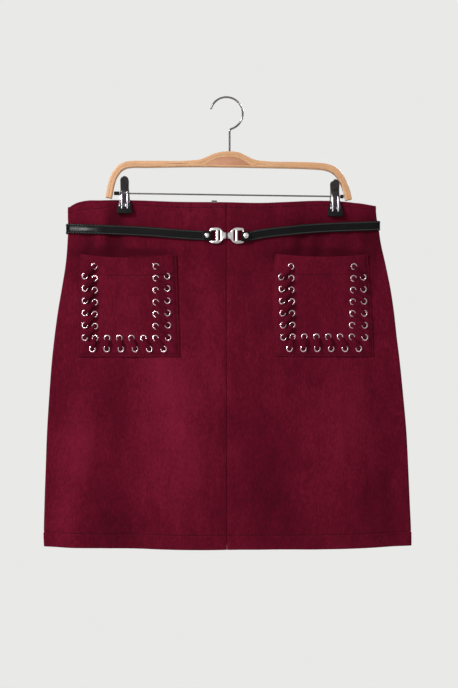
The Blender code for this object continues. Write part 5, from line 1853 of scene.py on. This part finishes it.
@dataclass(frozen=True)
class Hanger:
    """Two bent laminations round a core and a filler, with a wire hook, a bar and two sleeves."""

    lamination: float = 4.5
    glue_gap: float = 0.04
    half_depth: float = 6.0
    corners: Flat = (0.2, 1.5)
    left_leg: Rows = (
        (-164.2, -140.4), (-160.1, -120.4), (-157.2, -111.6), (-152.6, -104.2),
        (-148.8, -99.8), (-144, -96.7), (-139.6, -94.9), (-134.4, -94.1), (-112, -93.6),
    )
    right_leg: Rows = (
        (112, -93.8), (126, -94.4), (137.6, -95.4), (147.7, -98.4),
        (154.6, -102.8), (160.2, -109.6), (164.6, -118), (168.9, -129.6), (171.8, -141.4),
    )
    crown: Rows = (
        (-46, -92.2), (-36, -91), (-26.6, -87.2), (-17.8, -83.2), (-8, -80.4), (4.2, -79.5),
        (16.6, -81), (26, -85.4), (35, -89.6), (43.4, -91.8), (54, -92.8),
    )
    # middle, half width and run-out of the lower lamination's thinner stretch, and its thickness there
    thinned: tuple = (5.0, 32.0, 14.0, 2.3)
    # depth of the core between bow and filler, and where it starts to deepen, its run-out and how much
    shoulders: tuple = (3.4, 14.0, 20.0, 3.6)
    core_edge: float = 0.3
    # how far the core and filler stay inside the bow, and the least height that is filled
    wedge_inset: float = 0.12
    end_size: float = 0.8
    strip_step: float = 2.0
    hook_points: int = 64
    # points of the shank, and where its bend passes: X beyond it and share of the bend's height
    shank_points: int = 12
    shank_bend: Rows = ((0.9, 0.25), (0.15, 0.6))
    hook_sides: int = 18
    wire: float = 1.4
    hook_radius: float = 22.7
    hook_turn_deg: Flat = (163.0, -72.0)
    shank: tuple = (4.3, 4.0, -75.5)
    bar: tuple = ((-157.0, -134.1), (164.8, -136.8))
    bar_radius: float = 1.1
    sleeves: Flat = (7.6, 4.6)
    sleeve_radius: float = 2.6
    sleeve_sides: int = 32
    sleeve_edge: float = 0.5
    # how far the bar reaches into the sleeves, the distance of its rings and its sides
    bar_form: tuple = (1.5, 12.0, 14)

    def strip(self, name: str, path: Rows, sign: float) -> Piece:
        """One lamination, beside the glue line."""
        route = finer(np.array(path), self.strip_step)
        runs = unit(np.gradient(route, axis=0))
        normals = placed(-runs[:, 1], runs[:, 0])
        thick = np.full(len(route), self.lamination) if sign > 0.0 else self.lower_thickness(route[:, 0])
        shift = sign * (self.glue_gap / 2.0 + self.lamination - thick / 2.0)
        middle = route + normals * shift[:, None]
        start, end = middle[0] - runs[0] * 0.5, middle[-1] + runs[-1] * 0.5
        middle = np.concatenate([[start], middle, [end]])
        normals = np.concatenate([[normals[0]], normals, [normals[-1]]])
        sizes = np.ones((len(middle), 1, 2))
        sizes[1:-1, 0, 0] = thick / self.lamination
        sizes[[0, -1]] = self.end_size
        glued = round_box(self.lamination / 2.0, self.half_depth, self.corners[0], 4)
        open_side = round_box(self.lamination / 2.0, self.half_depth, self.corners[1], 4)
        section = np.where(glued[:, :1] * sign < 0.0, glued, open_side) * sizes
        centres = placed(middle[:, 0], 0.0, middle[:, 1])
        widths = placed(normals[:, 0], 0.0, normals[:, 1])
        heights = np.broadcast_to((0.0, 1.0, 0.0), centres.shape)
        return sweep(name, centres, widths, heights, section)

    def lower_thickness(self, x: Array) -> Array:
        """Thickness of the lower lamination, which the filler's pocket thins."""
        middle, half, run_out, thin = self.thinned
        return blend(thin, self.lamination, smooth((np.abs(x - middle) - half) / run_out))

    def floor(self, x: Array) -> Array:
        """Height of the lower lamination's top under the crown."""
        (left, low), (right, high) = self.crown[0], self.crown[-1]
        return blend(low, high, (x - left) / (right - left)) - self.lamination + self.lower_thickness(x)

    def core_depth(self, x: Array) -> Array:
        """Depth of the core under the crown's arch."""
        least, start, run_out, more = self.shoulders
        away = np.abs(x - self.thinned[0])
        return least + more * (np.maximum(0.0, away - start) / run_out) ** 2

    def wedge(self, name: str, edge: float, over: Array, under: Array) -> Piece:
        """Wood that fills the crown between two lines.

        Args:
            name: The piece's name.
            edge: How much its edges are rounded.
            over: Places of the line above it, from left to right.
            under: Places of the line below it.

        Returns:
            The new object.
        """
        open_part = over[:, 1] > under[:, 1] + self.wedge_inset
        outline = np.concatenate([over[open_part], under[open_part][::-1]])
        depth = self.half_depth - self.wedge_inset
        return plate(name, [outline.tolist()], -depth, depth, edge)

    def build_crown(self, finishes: Materials) -> None:
        """Makes and dresses the core and the lens-shaped filler below it."""
        arch = finer(np.array(self.crown), 1.0)
        x = arch[:, 0]
        floor = placed(x, self.floor(x) + self.glue_gap)
        over = arch - (0.0, self.glue_gap)
        middle = placed(x, np.maximum(floor[:, 1], over[:, 1] - self.core_depth(x)))
        dress(self.wedge("crown_core", self.core_edge, over, middle), finishes["hanger_wood"])
        filler = self.wedge("crown_filler", self.glue_gap, middle - (0.0, self.glue_gap), floor)
        dress(filler, finishes["filler_wood"], ("hanger_filler",))

    def hook(self) -> Piece:
        """The hook and its shank, in one wire."""
        turns = np.radians(np.linspace(*self.hook_turn_deg, self.hook_points))
        x = self.hook_radius * np.cos(turns)
        z = self.wire - self.hook_radius + self.hook_radius * np.sin(turns)
        shank_x, bend, low = self.shank
        route = [(a, 0.0, b) for a, b in zip(x, z)]
        route += [(shank_x + beyond, 0.0, z[-1] - share * bend) for beyond, share in self.shank_bend]
        route += [(shank_x, 0.0, level) for level in np.linspace(z[-1] - bend, low, self.shank_points)]
        return rod("wire_hook", np.array(route), self.wire, self.hook_sides)

    def sleeve(self, name: str, start: Array, end: Array) -> Piece:
        """Short tube over the bar's end, its edges rounded."""
        choose()
        middle = (start + end) / 2.0 * MM
        run = Vector(end - start)
        bpy.ops.mesh.primitive_cylinder_add(
            vertices=self.sleeve_sides, radius=self.sleeve_radius * MM,
            depth=run.length * MM, location=middle,
            rotation=run.to_track_quat("Z", "Y").to_euler(),
        )
        tube = bpy.context.view_layer.objects.active
        edge = tube.modifiers.new("edge", "BEVEL")
        edge.width = self.sleeve_edge * MM
        edge.segments = 3
        settle(tube, name)
        shade(tube)
        return tube

    def build(self, finishes: Materials) -> None:
        """Makes and dresses the hanger."""
        upper = self.left_leg + self.crown + self.right_leg
        lower = self.left_leg + (self.crown[0], self.crown[-1]) + self.right_leg
        wood = finishes["hanger_wood"]
        dress(self.strip("bow_upper", upper, 1.0), wood, ("hanger_bow_outer",))
        dress(self.strip("bow_lower", lower, -1.0), wood, ("hanger_bow_inner",))
        self.build_crown(finishes)
        dress(self.hook(), finishes["hook_chrome"], ("hanger_hook",))
        left, right = (np.array([x, 0.0, z]) for x, z in self.bar)
        run = unit(right - left)
        ends = (left + run * self.sleeves[0], right - run * self.sleeves[1])
        reach, step, sides = self.bar_form
        route = finer(np.array([ends[0] + run * reach, ends[1] - run * reach]), step)
        bar = rod("clip_bar", route, self.bar_radius, sides)
        dress(bar, finishes["bar_steel"], ("hanger_bar",))
        for name, start, end in (("left", left, ends[0]), ("right", ends[1], right)):
            sleeve = self.sleeve(f"sleeve_{name}", start, end)
            dress(sleeve, finishes["black_plastic"], (f"bar_sleeve_{name}",))


@dataclass(frozen=True)
class Clip:
    """Sprung clip: two pressed jaws with ribs in a painted highlight, two rubber pads and a coil round the
    bar.
    """

    name: str
    x: float
    z: float
    bar_z: float
    # distance from the middle plane and height, up the jaw
    path: Rows = (
        (6.7, -25.6), (6.7, -20), (6.7, -13.4), (6.1, -9), (4.9, -3.6), (4.7, 0), (4.95, 3.4),
        (6.6, 12.4), (8, 20), (8.6, 23.2),
    )
    # height, half width, share of the ribs, depth of the flanges
    forms: Rows = (
        (-25.6, 6.6, 0, 0), (-25, 7.2, 0.15, 0), (-23.5, 7.4, 0.6, 0), (-21, 7.5, 1, 0),
        (-13.2, 7.6, 1, 0), (-11.5, 7.6, 1, 2), (-6, 7.3, 0.9, 2.9), (-1, 6.8, 0.4, 3),
        (3, 6.3, 0, 2.6), (9, 5.8, 0, 1.6), (15, 5.8, 0, 0.9), (18, 5.8, 0, 0.6),
        (20.4, 4.9, 0, 0.4), (22, 3.5, 0, 0.2), (22.9, 1.9, 0, 0), (23.2, 0.6, 0, 0),
    )
    sheet: float = 1.0
    rib: tuple = (3.9, 1.1, 0.5)
    # lowest and highest point of the wires pressed into the ribs, their radius and how far they stand out
    rib_wire: tuple = (-21.5, -1.5, 1.25, 0.55)
    pad_half_width: Flat = (9.8, 10.5)
    pad_span: Flat = (-14.0, -28.6)
    pad_depth: Flat = (2.75, 5.85)
    pad_lip: float = 2.3
    # radius, wire's radius, half length and turns, then points in a turn and sides of the wire
    coil: tuple = (3.0, 0.5, 4.1, 6.0, 22, 8)
    path_step: float = 0.7
    jaw_columns: int = 33
    # share of the half width where the flange begins, its width, slope, and how it thins and leans in
    flange: tuple = (0.86, 0.14, 1.6, 0.55, 0.4)
    # fall of the plate to its sides, and the share of the half width where it begins
    crowned: Flat = (0.35, 0.6)
    outer_face: float = 0.6
    rib_step: float = 1.5
    rib_sides: int = 14
    pad_rings: int = 40
    # shares of the height of the first rings, towards the rounded ends
    pad_ends: tuple = (0.0, 0.004, 0.015, 0.04)
    pad_even: Flat = (0.08, 0.92)
    pad_tops: tuple = (0.96, 0.985, 0.996, 1.0)
    # share of the height that is rounded, and by how much
    pad_round: Flat = (0.05, 0.7)
    # height and number of the grip ridges
    grip: Flat = (0.1, 9.0)
    # shares of the height where the lip begins and in which it deepens
    lip_share: Flat = (0.26, 0.12)
    pad_corner: tuple = (0.6, 4)

    def jaw(self, side: Side) -> Piece:
        """Pressed jaw with two ribs, side flanges and a round head."""
        route = finer(np.array(self.path), self.path_step)
        centres = placed(self.x, side.value * route[:, 0], self.z + route[:, 1])
        runs = unit(np.gradient(centres, axis=0))
        out = unit(np.cross(runs, (1.0, 0.0, 0.0)))
        out = out * np.sign(out[:, 1:2]) * side.value
        sections = []
        row = np.linspace(-1.0, 1.0, self.jaw_columns)
        share = np.concatenate([row, np.linspace(1.0, -1.0, self.jaw_columns)])
        inner = np.repeat([0.0, 1.0], self.jaw_columns)
        begins, width, slope, least, lean = self.flange
        fall, falls_from = self.crowned
        for height in route[:, 1]:
            half, ribs, flange = (flowing(self.forms, column, height) for column in (1, 2, 3))
            u = share * half
            bend = np.clip((np.abs(share) - begins) / width, 0.0, 1.0)
            v = ribs * self.rib[2] * np.exp(-(((np.abs(u) - self.rib[0]) / self.rib[1]) ** 2))
            v = v - np.maximum(0.0, flange) * bend**slope
            v = v - fall * smooth((np.abs(share) - falls_from) / (1.0 - falls_from))
            thin = self.sheet * blend(1.0, least, bend)
            sections.append(
                placed(u - np.sign(share) * inner * bend * lean, v + self.outer_face - inner * thin)
            )
        widths = np.broadcast_to((1.0, 0.0, 0.0), centres.shape)
        return sweep(f"{self.name}_plate_{side.name.lower()}", centres, widths, out, np.array(sections))

    def ribs(self) -> Piece:
        """The rounded ridges of both jaws, in a bright copy of the chrome that is a painted highlight."""
        low, high, radius, out = self.rib_wire
        line = finer(np.array(self.path), self.rib_step)
        line = line[(line[:, 1] >= low) & (line[:, 1] <= high)]
        wires = []
        for side in Side:
            for sign in (-1.0, 1.0):
                x = self.x + sign * self.rib[0]
                route = placed(x, side.value * (line[:, 0] + out), self.z + line[:, 1])
                wires.append(rod(f"{self.name}_ribs", route, radius, self.rib_sides))
        choose(*wires)
        bpy.ops.object.join()
        return wires[0]

    def pad(self, side: Side) -> Piece:
        """Rubber pad, wider at its foot, with grip ridges."""
        even = np.linspace(*self.pad_even, self.pad_rings)
        heights = np.concatenate([self.pad_ends, even, self.pad_tops])
        rounded, by = self.pad_round
        tall, count = self.grip
        ends = np.sqrt(smooth(np.minimum(heights, 1.0 - heights) / rounded))
        sections = []
        for share, end in zip(heights, ends):
            half = blend(*self.pad_half_width, share) - by * (1.0 - end)
            ridge = tall * math.cos(2.0 * math.pi * share * count)
            lip = self.pad_lip * smooth((share - self.lip_share[0]) / self.lip_share[1])
            deep = (self.pad_depth[1] - self.pad_depth[0] + lip) / 2.0 - by * (1.0 - end) - tall + ridge
            box = round_box(half, deep, *self.pad_corner)
            sections.append(box + np.array([0.0, side.value * lip / 2.0]))
        z = self.z + blend(*self.pad_span, heights)
        y = side.value * (self.pad_depth[0] + self.pad_depth[1]) / 2.0
        centres = placed(self.x, y, z)
        widths = np.broadcast_to((1.0, 0.0, 0.0), centres.shape)
        depths = np.broadcast_to((0.0, 1.0, 0.0), centres.shape)
        return sweep(f"{self.name}_rubber_{side.name.lower()}", centres, widths, depths, np.array(sections))

    def spring(self) -> Piece:
        """Coil of wire round the bar."""
        radius, wire, reach, turns, points, sides = self.coil
        at = np.linspace(0.0, 1.0, int(turns * points))
        angle = 2.0 * math.pi * turns * at
        radial = placed(0.0, np.cos(angle), np.sin(angle))
        middle = placed(self.x - reach + 2.0 * reach * at, 0.0, self.bar_z)
        centres = middle + radial * radius
        runs = unit(np.gradient(centres, axis=0))
        return sweep(f"{self.name}_coil", centres, radial * wire, np.cross(runs, radial) * wire, oval(sides))

    def build(self, finishes: Materials) -> None:
        """Makes and dresses the clip."""
        for side in Side:
            place = side.name.lower()
            dress(self.jaw(side), finishes["clip_chrome"], (f"{self.name}_jaw_{place}",))
            dress(self.pad(side), finishes["clip_rubber"], (f"{self.name}_pad_{place}",))
        dress(self.ribs(), finishes["rib_chrome_painted_highlight"])
        dress(self.spring(), finishes["bar_steel"], (f"{self.name}_spring",))


@dataclass(frozen=True)
class ZipFastening:
    """Tape and teeth behind the centre back seam, and rounded edges on the slider and its tab."""

    cloth: ClothShape
    length: float = 178.0
    half_width: float = 12.0
    behind: float = 2.15
    tape: float = 0.5
    pitch: float = 1.5
    tooth: tuple = (1.25, 0.42, 0.36)
    tooth_off_seam: float = 0.75
    edge: float = 0.22
    rows: int = 50
    columns: int = 13
    # X of the zip's top, the tape's start below the waist edge, and the teeth's gaps at its ends
    top: tuple = (-17.0, 2.0, 3.0, 2.0)
    weld: float = 0.005
    sharp_deg: float = 40.0

    def build(self, finishes: Materials, frame: dict) -> None:
        """Makes and dresses the tape and teeth, and finishes the CAD slider and tab."""
        x_top, below, first_gap, last_gap = self.top
        start = float(self.cloth.top_z(Side.BACK, x_top)) - below
        z = np.linspace(start, start - self.length, self.rows)[:, None]
        across = np.linspace(-1.0, 1.0, self.columns)[None, :]
        x = self.cloth.seam_x(Side.BACK, z) + across * self.half_width
        y = self.cloth.face(Side.BACK, x, z + 0.0 * x) - self.behind
        grid = placed(x, y, z)
        faces = grid_faces(self.rows, self.columns, False)
        tape = mesh_object("woven_tape", grid.reshape(-1, 3), faces, flat_places(grid))
        give_thickness(tape, self.tape)
        dress(tape, finishes["zip_tape"], ("zip_tape",))
        levels = np.arange(start - first_gap, start - self.length + last_gap, -self.pitch)
        places, axes = [], []
        for sign, shift in ((-1.0, 0.0), (1.0, self.pitch / 2.0)):
            at = levels - shift
            middle = self.cloth.seam_x(Side.BACK, at) + sign * self.tooth_off_seam
            depth = self.cloth.face(Side.BACK, middle, at) - self.behind + self.tooth[2]
            places.append(placed(middle, depth, at))
            axes.append(np.broadcast_to(np.diag(self.tooth), (len(at), 3, 3)))
        teeth = copies("zip_teeth", stitch_template(), np.concatenate(places), np.concatenate(axes))
        dress(teeth, finishes["zip_metal"])
        for name in ("zip_slider", "zip_pull"):
            node = frame["nodes"][name]
            node.modifiers.new("weld", "WELD").merge_threshold = self.weld * MM
            bevel = node.modifiers.new("edges", "BEVEL")
            bevel.width = self.edge * MM
            bevel.segments = 2
            bevel.angle_limit = math.radians(self.sharp_deg)


# ---------------------------------------------------------------- the room round it


@dataclass(frozen=True)
class Studio:
    """Pale floor, soft light and the camera at the photograph's place."""

    camera_distance: float = 1800.0
    camera_turn_deg: float = 3.0
    camera_x: float = 3.5
    camera_z: float = -344.12
    lens: float = 67.28
    floor_z: float = -1500.0
    backdrop: Colour = (0.815, 0.815, 0.805)
    light_below: Colour = (0.16, 0.16, 0.16)
    light_above: Colour = (0.42, 0.42, 0.43)
    floor_half: float = 1500.0
    reflected: float = 1.6
    sensor: float = 36.0
    clip_start: float = 0.01
    # where the dim light from below ends and the bright light from above starts
    horizon: Flat = (0.15, 0.95)
    aim: tuple = (0.0, 0.0, -0.38)
    # name, place, size in metres and power
    lamps: tuple = (
        ("key_light", (-2.0, -1.55, 1.35), 0.8, 92.0),
        ("front_light", (-0.51, -2.5, 0.03), 0.2, 11.0),
        ("low_light", (0.13, -2.5, 0.02), 0.3, 0.2),
        ("back_light", (1.8, 1.8, 1.2), 1.0, 80.0),
        ("back_fill", (-1.2, 2.4, 0.2), 1.4, 16.0),
    )

    def build(self) -> None:
        """Makes the floor, the light and the camera."""
        scene = bpy.context.scene
        scene.view_settings.view_transform = "Standard"
        self.make_floor()
        self.make_camera(scene)
        self.make_world(scene)
        for name, place, size, power in self.lamps:
            self.make_lamp(name, place, size, power)

    def make_floor(self) -> None:
        """A pale floor below the view."""
        choose()
        below = (0.0, 0.0, self.floor_z * MM)
        bpy.ops.mesh.primitive_plane_add(size=2.0 * self.floor_half * MM, location=below)
        floor = settle(bpy.context.view_layer.objects.active, "floor")
        s = Shading("floor")
        specks = s.noise(s.place(), 30.0, 3.0, 0.5)
        s.set(Base_Color=s.mix(specks, (0.78, 0.78, 0.77), (0.82, 0.82, 0.81)), Roughness=0.8)
        floor.data.materials.append(s.material)

    def make_camera(self, scene: bpy.types.Scene) -> None:
        """The camera, a little to the left of the middle."""
        turn = math.radians(self.camera_turn_deg)
        camera = bpy.data.objects.new("camera", bpy.data.cameras.new("camera"))
        scene.collection.objects.link(camera)
        far = self.camera_distance
        camera.location = (
            (self.camera_x - far * math.sin(turn)) * MM, -far * math.cos(turn) * MM, self.camera_z * MM
        )
        camera.rotation_euler = (math.pi / 2.0, 0.0, -turn)
        camera.data.lens = self.lens
        camera.data.sensor_width = self.sensor
        camera.data.clip_start = self.clip_start
        scene.camera = camera

    def make_world(self, scene: bpy.types.Scene) -> None:
        """Pale surroundings in view, and dimmer light from them, brightest from above."""
        world = bpy.data.worlds.new("studio")
        world.use_nodes = True
        scene.world = world
        tree = world.node_tree
        background = tree.nodes["Background"]
        add, link = tree.nodes.new, tree.links.new
        place = add("ShaderNodeTexCoord")
        split = add("ShaderNodeSeparateXYZ")
        height = add("ShaderNodeMapRange")
        ramp = add("ShaderNodeValToRGB")
        low, high = ramp.color_ramp.elements
        low.position, high.position = self.horizon
        low.color = (*self.light_below, 1.0)
        high.color = (*self.light_above, 1.0)
        height.inputs[1].default_value = -1.0
        path = add("ShaderNodeLightPath")
        seen = add("ShaderNodeMix")
        seen.data_type = "RGBA"
        seen.inputs[7].default_value = (*self.backdrop, 1.0)
        link(place.outputs["Generated"], split.inputs[0])
        link(split.outputs[2], height.inputs[0])
        link(height.outputs[0], ramp.inputs[0])
        link(path.outputs["Is Camera Ray"], seen.inputs[0])
        link(ramp.outputs[0], seen.inputs[6])
        link(seen.outputs[2], background.inputs[0])
        gloss = add("ShaderNodeMapRange")
        gloss.inputs[4].default_value = self.reflected
        gloss.inputs[3].default_value = 1.0
        link(path.outputs["Is Glossy Ray"], gloss.inputs[0])
        link(gloss.outputs[0], background.inputs[1])

    def make_lamp(self, name: str, place: tuple, size: float, power: float) -> None:
        """A soft square lamp that points at the skirt."""
        lamp = bpy.data.lights.new(name, "AREA")
        lamp.energy = power
        lamp.size = size
        thing = bpy.data.objects.new(name, lamp)
        thing.location = place
        thing.rotation_euler = (Vector(self.aim) - Vector(place)).to_track_quat("-Z", "Y").to_euler()
        bpy.context.scene.collection.objects.link(thing)


def dress_nodes(frame: dict, finishes: Materials) -> None:
    """Gives every CAD node the finish of its slot."""
    slots = {part["node"]: part["material_slot"] for part in frame["record"]["subparts"]}
    for name, node in frame["nodes"].items():
        node.data.materials.clear()
        node.data.materials.append(finishes[slots[name]])


def corners(box: object) -> list:
    """A box as plain lists of numbers."""
    return [[float(number) for number in corner] for corner in box]


def main() -> None:
    """Builds the skirt's looks round the frame."""
    logging.basicConfig(level=logging.INFO, format="%(message)s")
    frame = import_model()
    finishes = Finishes().make()
    dress_nodes(frame, finishes)
    Studio().build()
    cloth = ClothShape()
    SkirtPanels(cloth).build(finishes)
    for plan in (LEFT_POCKET, RIGHT_POCKET):
        LacedPocket(cloth, plan).build(finishes)
    Belt(cloth).build(finishes)
    Buckle(cloth).build(finishes)
    ZipFastening(cloth).build(finishes, frame)
    Hanger().build(finishes)
    for name, (x, z), bar_z in zip(("clip_left", "clip_right"), cloth.clips, BAR_HEIGHTS):
        Clip(name, x, z, bar_z).build(finishes)


if __name__ == "__main__":
    main()
